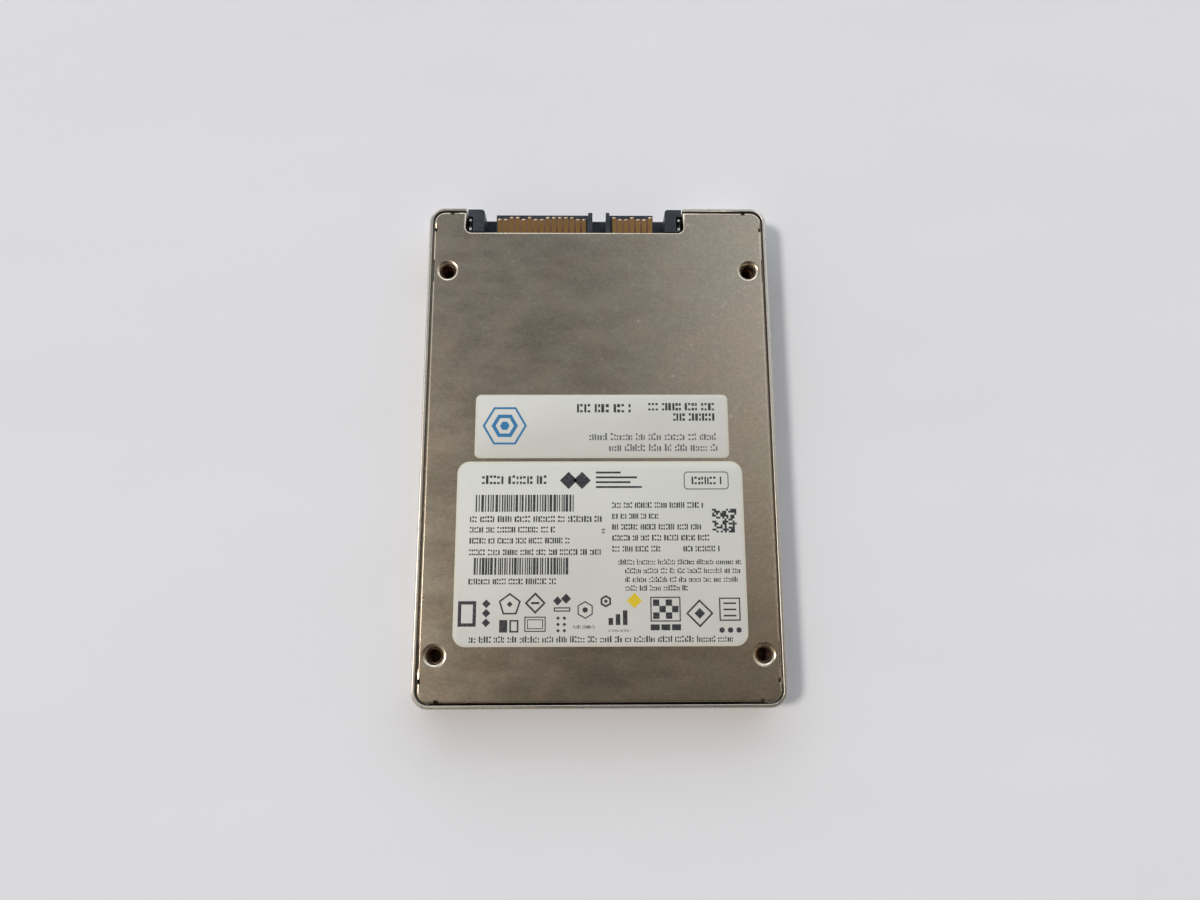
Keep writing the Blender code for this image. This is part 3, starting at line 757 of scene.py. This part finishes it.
CAMERA_PLACE = (-0.00191, -0.03311, 0.16311)
CAMERA_TURN = (11.455, -0.735, -0.212)
CAMERA_LENS = 24.4075
KEY_PLACE = Vector((-0.60, 0.02, 0.80))
KEY_POWER = 1.45
KEY_ANGLE = math.radians(11.5)
WINDOW_GLOW = 1.35
KEY_COLOUR = (1.0, 0.965, 0.925)
FLOOR_HALF = 6.0
BACKDROP = 0.66
BACKDROP_COLOUR = (0.95, 0.96, 1.0)
WARM_ROOM = (1.0, 0.89, 0.75)
COOL_ROOM = (0.83, 0.91, 1.0)
# Brightness of the room overhead, and round about.
OVERHEAD = {"left": 0.26, "right": 0.07, "far right": 1.38, "far": 0.05}
AROUND = {"all": 0.15, "far": 0.40, "left": 0.42, "right": 0.15}


def make_floor():
    bm = bmesh.new()
    bmesh.ops.create_grid(bm, x_segments=8, y_segments=8, size=FLOOR_HALF)
    mesh = bpy.data.meshes.new("pale_floor")
    bm.to_mesh(mesh)
    bm.free()
    mesh.materials.append(finish("pale floor"))
    floor = bpy.data.objects.new("pale_floor", mesh)
    bpy.context.scene.collection.objects.link(floor)


def make_key_light():
    """A soft key light from high on the left, which throws a short shadow."""
    data = bpy.data.lights.new("key_light", "SUN")
    data.energy = KEY_POWER
    data.angle = KEY_ANGLE
    data.color = KEY_COLOUR
    lamp = bpy.data.objects.new("key_light", data)
    bpy.context.scene.collection.objects.link(lamp)
    lamp.location = KEY_PLACE
    lamp.rotation_euler = KEY_PLACE.to_track_quat("Z", "Y").to_euler()


def make_world():
    """Soft light from all round, brighter at the far side and dim straight overhead."""
    world = bpy.data.worlds.new("soft room")
    bpy.context.scene.world = world
    world.use_nodes = True
    tree = world.node_tree
    direction = node(tree, "ShaderNodeTexCoord", {}).outputs["Generated"]
    x, y, z = node(tree, "ShaderNodeSeparateXYZ", {0: direction}).outputs
    far = spread(tree, y, -0.35, 0.85)
    far_right = times(tree, spread(tree, y, -0.25, 0.45), OVERHEAD["far right"])
    overhead = plus(tree, times(tree, spread(tree, x, 0.02, -0.30), OVERHEAD["left"]),
                    times(tree, spread(tree, x, -0.1, 0.5),
                          plus(tree, far_right, OVERHEAD["right"])))
    overhead = plus(tree, overhead, times(tree, far, OVERHEAD["far"]))
    around = plus(tree, times(tree, far, AROUND["far"]), AROUND["all"])
    around = plus(tree, around, times(tree, spread(tree, x, -0.25, -0.95), AROUND["left"]))
    around = plus(tree, around, times(tree, spread(tree, x, 0.2, 0.9), AROUND["right"]))
    window = times(tree, spread(tree, y, 0.30, 0.80), spread(tree, z, 0.02, 0.22))
    window = times(tree, window, spread(tree, z, 0.78, 0.52))
    pane = times(tree, spread(tree, x, 0.12, -0.12), spread(tree, x, -0.45, -0.28))
    glow = plus(tree, times(tree, pane, WINDOW_GLOW), WINDOW_GLOW)
    around = plus(tree, around, times(tree, window, glow))
    mixed = node(tree, "ShaderNodeMix", {0: spread(tree, z, 0.35, 0.95), 2: around, 3: overhead},
                 data_type="FLOAT")
    seen = node(tree, "ShaderNodeLightPath", {}).outputs["Is Camera Ray"]
    strength = node(tree, "ShaderNodeMix", {0: seen, 2: mixed.outputs[0], 3: BACKDROP},
                    data_type="FLOAT")
    back = tree.nodes["Background"]
    room = blend(tree, spread(tree, y, -0.15, 0.50), WARM_ROOM, COOL_ROOM)
    put(tree, back, "Color", blend(tree, seen, room, BACKDROP_COLOUR))
    put(tree, back, "Strength", strength.outputs[0])


def make_camera():
    data = bpy.data.cameras.new("main_camera")
    data.sensor_width = 36.0
    data.lens = CAMERA_LENS
    data.clip_start = 0.005
    data.clip_end = 20.0
    camera = bpy.data.objects.new("main_camera", data)
    bpy.context.scene.collection.objects.link(camera)
    camera.location = CAMERA_PLACE
    camera.rotation_euler = Euler([math.radians(angle) for angle in CAMERA_TURN])
    bpy.context.scene.camera = camera


class DRIVE_OT_stage(bpy.types.Operator):
    """Lays the pale floor and sets the lights, the room and the camera."""

    bl_idname = "drive.stage"
    bl_label = "Stage"

    def execute(self, context):
        context.scene.view_settings.view_transform = "Standard"
        make_floor()
        make_world()
        make_key_light()
        make_camera()
        return {"FINISHED"}


# ---------------------------------------------------------------- case


def hole_centres():
    return [Vector((side * HOLE_X, y)) for y in (HOLE_FRONT_Y, HOLE_REAR_Y) for side in (-1, 1)]


def make_ledges():
    """Narrow ledges inside the shell's wall, which close the seam beside the cover's flanges."""
    bm = bmesh.new()
    wall_x = SHELL_HIGH.x - WALL
    wall_y = SHELL_HIGH.y - WALL
    flange_x = COVER_HIGH.x + LEDGE_GAP
    flange_y = COVER_HIGH.y + LEDGE_GAP
    low, high = COVER_LOW.z, SHELL_HIGH.z - LEDGE_DROP
    turn_x, turn_y = wall_x - INNER_RADIUS, wall_y - INNER_RADIUS
    for side in (-1, 1):
        near, far = sorted((side * flange_x, side * (wall_x + WALL / 4)))
        block(bm, (near, -turn_y, low), (far, turn_y, high))
    for start, stop in ((-turn_x, NOTCH_LEFT), (NOTCH_RIGHT, turn_x)):
        block(bm, (start, flange_y, low), (stop, wall_y + WALL / 4, high))
    for side_x in (-1, 1):
        for side_y in (-1, 1):
            centre = (side_x * turn_x, side_y * turn_y, 0.0)
            corner = block(bm, (centre[0], centre[1] - MERGE, low),
                           (centre[0] + MM, centre[1] + MERGE, high))
            near, far = flange_x - turn_x, wall_x + WALL / 4 - turn_x
            for vert in corner:
                vert.co.x = centre[0] + side_x * (far if vert.co.x > centre[0] else near)
            faces = {face for vert in corner for face in vert.link_faces
                     if all(v in corner and v.co.y * side_y > centre[1] * side_y
                            for v in face.verts)}
            bmesh.ops.spin(bm, geom=list(faces), cent=centre, axis=(0, 0, 1),
                           angle=side_x * side_y * math.pi / 2, steps=8)
    bmesh.ops.recalc_face_normals(bm, faces=bm.faces)
    new_piece("seam_ledges", bm, "shell metal", "base")


class DRIVE_OT_shell(bpy.types.Operator):
    """Lays the deep stamped shell, with its edges rounded and its rim worn."""

    bl_idname = "drive.shell"
    bl_label = "Base shell"

    def execute(self, context):
        bm = merged_copy("base_shell")
        inner_x = SHELL_HIGH.x - WALL + MERGE
        inner_y = SHELL_HIGH.y - WALL + MERGE

        def on_inner_rim(point):
            level = abs(point.z - SHELL_HIGH.z) < MERGE
            return level and abs(point.x) < inner_x and abs(point.y) < inner_y

        round_where(bm, on_inner_rim, sizes().sheet_break, 2)
        piece = new_piece("shell_stamping", bm, "shell metal", "base",
                          ("base_shell",))
        flatten_faces(piece)
        make_ledges()
        return {"FINISHED"}


class DRIVE_OT_cover(bpy.types.Operator):
    """Lays the stamped cover plate with rounded edges, notches and countersinks."""

    bl_idname = "drive.cover"
    bl_label = "Cover plate"

    def execute(self, context):
        bm = merged_copy("cover_plate")
        top = COVER_HIGH.z

        def on_notch(point):
            inside = NOTCH_LEFT - MERGE < point.x < NOTCH_RIGHT + MERGE
            return inside and point.y > NOTCH_Y - MERGE and abs(point.z - top) < MERGE

        def on_countersink(point):
            if abs(point.z - top) > MERGE:
                return False
            return any(abs((point.xy - centre).length - SINK_RADIUS) < 0.01 * MM
                       for centre in hole_centres())

        round_where(bm, on_notch, sizes().notch_break, 4)
        round_where(bm, on_countersink, sizes().sink_break, 4)
        piece = new_piece("cover_stamping", bm, "cover metal", "cover",
                          ("cover_plate",))
        flatten_faces(piece)
        return {"FINISHED"}


def thread(bm, centre, bore, top, bottom, pitch, depth):
    """Adds a screw thread, as one ridge that winds down the wall of a bore."""
    turns = int((top - bottom) / pitch)
    steps = 20
    half = pitch * 0.42
    wall = bore * 0.998
    points = ((wall, -half), (bore - depth, 0.0), (wall, half))
    verts = [bm.verts.new((centre[0] + radius, centre[1], bottom + half + z))
             for radius, z in points]
    start = bm.faces.new(verts)
    geometry = verts + list(start.edges) + [start]
    bmesh.ops.spin(bm, geom=geometry, cent=(centre[0], centre[1], 0.0), axis=(0, 0, 1),
                   dvec=(0.0, 0.0, pitch / steps), angle=math.tau * (turns - 1),
                   steps=steps * (turns - 1), use_merge=False, use_duplicate=False)


class DRIVE_OT_corner_blocks(bpy.types.Operator):
    """Lays the four corner blocks, with a dark lining and a thread in each screw hole that paint the
    shade in the bore.
    """

    bl_idname = "drive.corner_blocks"
    bl_label = "Corner blocks"

    def execute(self, context):
        for name in BLOCKS:
            node_name = f"mount_block_{name}"
            refine(node_name, f"corner_block_{name}", "block metal", "base",
                   sizes().small_break)
            low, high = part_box(node_name)
            centre = (math.copysign(HOLE_X, low.x), (low.y + high.y) / 2)
            bm = bmesh.new()
            thread(bm, centre, BORE_RADIUS, high.z - 0.1 * MM, BORE_END, sizes().thread_pitch,
                   sizes().thread_depth)
            # Painted shade: a dark lining, a ring at its mouth and a disc at its floor darken the
            # bore.
            inner = BORE_RADIUS - LINING
            hoop(bm, centre, BORE_RADIUS, inner, BORE_END, high.z - 0.08 * MM, BORE_SIDES)
            hoop(bm, centre, BORE_RADIUS + LINING_FLANGE, inner, high.z - 0.09 * MM,
                 high.z + 0.01 * MM, BORE_SIDES)
            disc(bm, centre, BORE_RADIUS - 0.01 * MM, BORE_END - 0.02 * MM,
                 BORE_END + 0.02 * MM, BORE_SIDES)
            bmesh.ops.recalc_face_normals(bm, faces=bm.faces)
            new_piece(f"thread_{name}", bm, "oiled thread", "base")
        return {"FINISHED"}


# ---------------------------------------------------------------- labels and print


class DRIVE_OT_labels(bpy.types.Operator):
    """Lays the two paper labels."""

    bl_idname = "drive.labels"
    bl_label = "Labels"

    def execute(self, context):
        for node_name, name, radius in LABELS:
            low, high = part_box(node_name)
            bm = rounded_sheet(low, high, radius * MM, sizes().paper_break)
            size_word = node_name.split("_")[1]
            new_piece(name, bm, f"{size_word} label paper", "cover", (node_name,))
        return {"FINISHED"}


class Press:
    """Lays flat print on the labels, in mm, from shapes of one height."""

    def __init__(self):
        self.bm = bmesh.new()
        self.low = LABEL_TOP - 0.002 * MM
        self.high = LABEL_TOP + sizes().ink_raise

    def bar(self, x_low, x_high, y_low, y_high):
        block(self.bm, (x_low * MM, y_low * MM, self.low), (x_high * MM, y_high * MM, self.high))

    def ring(self, x, y, outer, inner, sides, turn=0.0):
        hoop(self.bm, (x * MM, y * MM), outer * MM, inner * MM, self.low, self.high, sides, turn)

    def spot(self, x, y, radius, sides, turn=0.0):
        disc(self.bm, (x * MM, y * MM), radius * MM, self.low, self.high, sides, turn)

    def frame(self, x_low, x_high, y_low, y_high, width):
        self.bar(x_low, x_high, y_high - width, y_high)
        self.bar(x_low, x_high, y_low, y_low + width)
        self.bar(x_low, x_low + width, y_low + width, y_high - width)
        self.bar(x_high - width, x_high, y_low + width, y_high - width)

    def round_frame(self, x_low, x_high, y_low, y_high, width, radius):
        """A frame with round corners."""
        sheet = rounded_rectangle((x_low * MM, y_low * MM, self.low), (x_high * MM, y_high * MM),
                                  radius * MM, 6)
        middle = sheet.faces[:]
        bmesh.ops.inset_region(sheet, faces=middle, thickness=width * MM, depth=0.0,
                               use_boundary=True, use_even_offset=True)
        bmesh.ops.delete(sheet, geom=middle, context="FACES")
        thicken(sheet, sheet.faces[:], self.high - self.low)
        bmesh.ops.recalc_face_normals(sheet, faces=sheet.faces)
        outline = bpy.data.meshes.new("round_frame")
        sheet.to_mesh(outline)
        sheet.free()
        self.bm.from_mesh(outline)
        bpy.data.meshes.remove(outline)

    def ticks(self, x_low, x_high, y_low, y_high, draw, weight=1.0, rises=(0.7, 0.7, 0.85, 1.0)):
        """A row of upright ticks in groups, with the colour and rhythm of small print."""
        high = y_high - y_low
        x = x_low
        left_in_group = draw.randint(3, 9)
        while x < x_high - 0.1 * high:
            width = high * draw.choice((0.15, 0.18, 0.22)) * weight
            rise = high * draw.choice(rises)
            kind = draw.random()
            if kind < 0.45:
                self.bar(x, x + width, y_low, y_low + rise)
            elif kind < 0.75:
                self.bar(x, x + width, y_low, y_low + rise * 0.34)
                self.bar(x, x + width, y_low + rise * 0.62, y_low + rise)
            else:
                wide = high * 0.30
                self.bar(x, x + wide, y_low, y_low + rise * 0.26)
                self.bar(x, x + wide, y_low + rise * 0.72, y_low + rise)
                width = wide
            x += width + high * draw.choice((0.12, 0.15, 0.18))
            left_in_group -= 1
            if left_in_group == 0:
                x += high * 0.38
                left_in_group = draw.randint(3, 9)

    def bar_code(self, x_low, x_high, y_low, y_high, draw):
        x = x_low
        while x < x_high - 0.2:
            width = draw.choice((0.20, 0.20, 0.28, 0.38, 0.50))
            self.bar(x, min(x + width, x_high), y_low, y_high)
            x += width + draw.choice((0.14, 0.18, 0.24, 0.30))

    def modules(self, x_low, x_high, y_low, y_high, count, draw):
        cell = (x_high - x_low) / count
        tall = (y_high - y_low) / count
        for column in range(count):
            for row in range(count):
                if draw.random() < 0.5:
                    left = x_low + column * cell
                    low = y_low + row * tall
                    self.bar(left, left + cell * 1.02, low, low + tall * 1.02)

    def finish(self, name, finish_name):
        new_piece(name, self.bm, finish_name, "cover")


def print_marks(press):
    """The row of plain geometric marks along the foot of the large label."""
    press.frame(-26.6, -23.2, -35.2, -30.5, 0.62)
    for step in range(3):
        press.spot(-21.3, -34.5 + step * 1.75, 0.80, 4)
    press.ring(-16.9, -31.2, 2.2, 1.82, 5)
    press.spot(-16.9, -31.1, 0.55, 4)
    press.ring(-12.1, -30.9, 2.0, 1.5, 4)
    press.bar(-12.9, -11.3, -31.1, -30.7)
    press.spot(-7.9, -30.5, 0.85, 4)
    press.spot(-6.3, -30.1, 0.95, 4)
    press.frame(-8.6, -5.5, -32.5, -31.7, 0.22)
    press.ring(-2.7, -32.2, 1.65, 1.40, 6)
    press.spot(-2.7, -32.2, 0.55, 6)
    press.bar(-18.8, -17.3, -36.3, -34.0)
    press.frame(-16.9, -15.2, -36.3, -34.0, 0.3)
    press.frame(-14.1, -10.1, -36.2, -33.4, 0.2)
    press.frame(-13.6, -10.6, -35.7, -33.9, 0.16)
    for row in range(3):
        for column in range(2):
            press.spot(-7.8 + column * 1.2, -36.0 + row * 1.15, 0.36, 4)
    press.ring(1.2, -30.6, 1.15, 0.75, 6)
    press.spot(1.2, -30.6, 0.35, 6)
    for step in range(3):
        press.bar(1.7 + step * 1.35, 2.55 + step * 1.35, -35.0, -33.7 + step * 0.7)
    press.frame(9.6, 15.3, -34.4, -29.8, 0.22)
    for column in range(4):
        for row in range(3):
            if (column + row) % 2 == 0:
                left = 10.1 + column * 1.2
                press.bar(left, left + 1.2, -33.9 + row * 1.2, -32.7 + row * 1.2)
    for step in range(3):
        press.bar(9.6 + step * 2.0, 11.3 + step * 2.0, -36.0, -34.9)
    press.ring(18.9, -32.9, 2.6, 2.15, 4)
    press.spot(18.9, -32.9, 1.0, 4)
    press.frame(22.6, 26.6, -34.3, -30.0, 0.24)
    for step in range(3):
        press.bar(23.4, 25.8, -33.5 + step * 1.15, -33.2 + step * 1.15)
    for step in range(3):
        press.spot(23.0 + step * 1.6, -36.0, 0.55, 6)


def print_heading(press):
    """A plain heading: two solid lozenges, four lines of uneven length and a box."""
    for step in range(2):
        press.spot(-5.9 + step * 2.6, -7.5, 1.7, 4)
    for step, right in enumerate((8.3, 6.1, 7.4, 4.2)):
        press.bar(-0.6, right, -9.0 + step * 0.95, -8.62 + step * 0.95)
    press.round_frame(16.5, 25.2, -9.3, -5.8, 0.16, 0.7)


class DRIVE_OT_print(bpy.types.Operator):
    """Prints rows of ticks, bar codes and plain marks on the labels."""

    bl_idname = "drive.print"
    bl_label = "Print"

    def execute(self, context):
        draw = random.Random(41)
        press = Press()
        for row in BLACK_ROWS:
            press.ticks(*row, draw, 1.3, (0.9, 1.0, 1.0))
        for row in SMALL_ROWS:
            press.ticks(*row, draw, 1.6, (1.0,))
        for row in LOW_ROWS:
            press.ticks(*row, draw, 1.2)
        for code in BAR_CODES:
            press.bar_code(*code, draw)
        press.modules(*MODULE_SQUARE, MODULE_COUNT, draw)
        print_heading(press)
        print_marks(press)
        press.finish("print_black", "black print")
        press = Press()
        for row in GREY_ROWS:
            press.ticks(*row, draw, 1.1)
        press.finish("print_grey", "grey print")
        press = Press()
        press.ring(-18.5, 3.4, 4.35, 3.88, 6, math.radians(30))
        press.ring(-18.5, 3.4, 2.6, 1.8, 6, math.radians(30))
        press.spot(-18.5, 3.4, 0.95, 6, math.radians(30))
        press.finish("print_blue", "blue print")
        press = Press()
        press.spot(6.6, -30.5, 1.45, 4)
        press.finish("print_yellow", "yellow print")
        return {"FINISHED"}


# ---------------------------------------------------------------- plug


class DRIVE_OT_plug(bpy.types.Operator):
    """Lays the plug moulding and the spring clips in its ears."""

    bl_idname = "drive.plug"
    bl_label = "Plug"

    def execute(self, context):
        refine("plug_housing", "plug_moulding", "plug moulding", "base",
               sizes().mould_break)
        for side in ("left", "right"):
            refine(f"ear_clip_{side}", f"spring_clip_{side}", "clip metal", "base",
                   sizes().small_break * 2)
        return {"FINISHED"}


def make_contact_beds():
    """The amber moulding between the contacts, and a pale metal nose on each contact that paints the
    highlight at its tip.
    """
    beds = bmesh.new()
    highlight_noses = bmesh.new()
    for kind in ("power", "signal"):
        row = [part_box(name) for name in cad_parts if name.startswith(f"contact_{kind}")]
        left = min(low.x for low, _ in row)
        right = max(high.x for _, high in row)
        top = row[0][1].z
        bed_top = top - 0.10 * MM
        block(beds, (left, NOTCH_Y + 0.3 * MM, bed_top - 0.06 * MM),
              (right, min(high.y for _, high in row) - 0.1 * MM, bed_top + 0.05 * MM))
        for low, high in row:
            # Painted highlight: a pale metal blob at each contact's tip.
            middle = (low.x + high.x) / 2
            place = Matrix.Translation((middle, high.y - 0.26 * MM, top - 0.05 * MM))
            place = place @ Matrix.Diagonal((0.30 * MM, 0.24 * MM, 0.13 * MM, 1.0))
            bmesh.ops.create_uvsphere(highlight_noses, u_segments=12, v_segments=8, radius=1.0,
                                      matrix=place)
    soften(beds, beds.edges[:], 0.02 * MM)
    new_piece("contact_beds", beds, "amber bed", "base")
    new_piece("contact_noses", highlight_noses, "contact tin", "base")


class DRIVE_OT_contacts(bpy.types.Operator):
    """Lays the gold contacts with soft edges, and a solder joint at each tail."""

    bl_idname = "drive.contacts"
    bl_label = "Contacts"

    def execute(self, context):
        solder = bmesh.new()
        for node_name in sorted(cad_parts):
            if not node_name.startswith("contact_"):
                continue
            name = node_name.replace("contact", "strip")
            refine(node_name, name, "contact gold", "base", sizes().small_break)
            low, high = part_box(node_name)
            x = (low.x + high.x) / 2
            verts = block(solder, (x - 0.52 * MM, low.y - 0.25 * MM, BOARD_TOP + 0.005 * MM),
                          (x + 0.52 * MM, low.y + 1.1 * MM, BOARD_TOP + 0.045 * MM))
            edges = list({edge for vert in verts for edge in vert.link_edges})
            soften(solder, edges, 0.015 * MM)
        new_piece("contact_solder", solder, "solder", "base")
        make_contact_beds()
        return {"FINISHED"}


# ---------------------------------------------------------------- inside


def chip(node_name, name):
    """A moulded package: sloped sides, a pin-one dimple and a parting line."""
    low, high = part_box(node_name)
    bm = bmesh.new()
    block(bm, low, high)
    top = [face for face in bm.faces if face.normal.z > 0.9]
    bmesh.ops.inset_region(bm, faces=top, thickness=0.12 * MM, depth=0.0)
    ledge = [vert for vert in bm.verts if vert.co.z > high.z - MERGE
             and not all(face.normal.z > 0.9 for face in vert.link_faces)]
    bmesh.ops.translate(bm, verts=ledge, vec=(0.0, 0.0, -0.12 * MM))
    bmesh.ops.recalc_face_normals(bm, faces=bm.faces)
    piece = new_piece(name, bm, "chip epoxy", "base", (node_name,))
    break_edges(piece, sizes().small_break)
    dot = bmesh.new()
    disc(dot, (low.x + 1.0 * MM, high.y - 1.0 * MM), 0.35 * MM, high.z - 0.02 * MM,
         high.z + 0.01 * MM, 16, narrow=0.9)
    new_piece(f"{name}_pin_mark", dot, "grey print", "base")


class DRIVE_OT_board(bpy.types.Operator):
    """Lays the circuit board, the film under it, its screws and its small parts."""

    bl_idname = "drive.board"
    bl_label = "Board"

    def execute(self, context):
        refine("circuit_board", "board_laminate", "solder mask", "base",
               sizes().small_break)
        refine("insulating_film", "film_sheet", "insulating film", "base",
               sizes().small_break)
        for number in range(1, 5):
            refine(f"board_screw_{number}", f"pan_screw_{number}", "screw steel", "base",
                   sizes().small_break)
        draw = random.Random(7)
        bodies = bmesh.new()
        caps = bmesh.new()
        top = BOARD_TOP
        for x, y_start, count, pitch in ((-14.5, 15.0, 6, 1.7), (6.4, 14.0, 7, 1.9),
                                         (28.5, 10.0, 6, 1.8), (-28.5, 10.0, 5, 1.8),
                                         (17.8, 27.0, 4, 1.7), (-12.8, 30.0, 3, 1.6)):
            for step in range(count):
                long_half = draw.choice((0.5, 0.5, 0.8)) * MM
                half = long_half * 0.5
                y = (y_start + step * pitch) * MM
                place = x * MM
                block(bodies, (place - long_half * 0.6, y - half, top + 0.01 * MM),
                      (place + long_half * 0.6, y + half, top + half * 1.6))
                for end in (-1, 1):
                    near, far = sorted((place + end * long_half * 0.6, place + end * long_half))
                    block(caps, (near, y - half, top + 0.01 * MM), (far, y + half, top + half * 1.6))
        for bm in (bodies, caps):
            soften(bm, bm.edges[:], 0.03 * MM)
        new_piece("chip_capacitor_bodies", bodies, "ceramic", "base")
        new_piece("chip_capacitor_ends", caps, "solder", "base")
        return {"FINISHED"}


class DRIVE_OT_components(bpy.types.Operator):
    """Lays the chips, the power parts and the thermal pads."""

    bl_idname = "drive.components"
    bl_label = "Components"

    def execute(self, context):
        chip("controller_chip", "controller_package")
        chip("dram_chip", "memory_package")
        for number in range(1, 5):
            chip(f"nand_chip_{number}", f"flash_package_{number}")
        chip("power_chip", "power_package")
        for number in (1, 2):
            refine(f"power_inductor_{number}", f"pressed_inductor_{number}", "ferrite", "base",
                   sizes().mould_break * 2)
        for number in (1, 2, 3):
            refine(f"bulk_capacitor_{number}", f"moulded_capacitor_{number}", "capacitor resin",
                   "base", sizes().mould_break)
        refine("crystal", "timing_can", "can metal", "base", sizes().mould_break)
        for name in ("controller", "nand_left", "nand_right"):
            refine(f"thermal_pad_{name}", f"gap_pad_{name}", "thermal pad", "base",
                   sizes().mould_break)
        return {"FINISHED"}


# ---------------------------------------------------------------- panel and run


OPERATORS = (
    DRIVE_OT_stage,
    DRIVE_OT_shell,
    DRIVE_OT_cover,
    DRIVE_OT_corner_blocks,
    DRIVE_OT_labels,
    DRIVE_OT_print,
    DRIVE_OT_plug,
    DRIVE_OT_contacts,
    DRIVE_OT_board,
    DRIVE_OT_components,
)


class DRIVE_PT_parts(bpy.types.Panel):
    """Lists the drive's pieces, sizes and colours."""

    bl_idname = "DRIVE_PT_parts"
    bl_label = "Solid state drive"
    bl_space_type = "VIEW_3D"
    bl_region_type = "UI"
    bl_category = "Drive"

    def draw(self, context):
        column = self.layout.column(align=True)
        for operator in OPERATORS:
            column.operator(operator.bl_idname)
        for group in (context.scene.drive_sizes, context.scene.drive_colours):
            box = self.layout.box()
            for name in group.__annotations__:
                box.prop(group, name)


CLASSES = (DriveSizes, DriveColours, *OPERATORS, DRIVE_PT_parts)


def register():
    for item in CLASSES:
        bpy.utils.register_class(item)
    bpy.types.Scene.drive_sizes = PointerProperty(type=DriveSizes)
    bpy.types.Scene.drive_colours = PointerProperty(type=DriveColours)


def unregister():
    del bpy.types.Scene.drive_colours
    del bpy.types.Scene.drive_sizes
    for item in reversed(CLASSES):
        bpy.utils.unregister_class(item)


def main():
    register()
    bpy.ops.drive.stage()
    bpy.ops.drive.shell()
    bpy.ops.drive.cover()
    bpy.ops.drive.corner_blocks()
    bpy.ops.drive.labels()
    bpy.ops.drive.print()
    bpy.ops.drive.plug()
    bpy.ops.drive.contacts()
    bpy.ops.drive.board()
    bpy.ops.drive.components()
    bpy.context.view_layer.update()


if __name__ == "__main__":
    main()
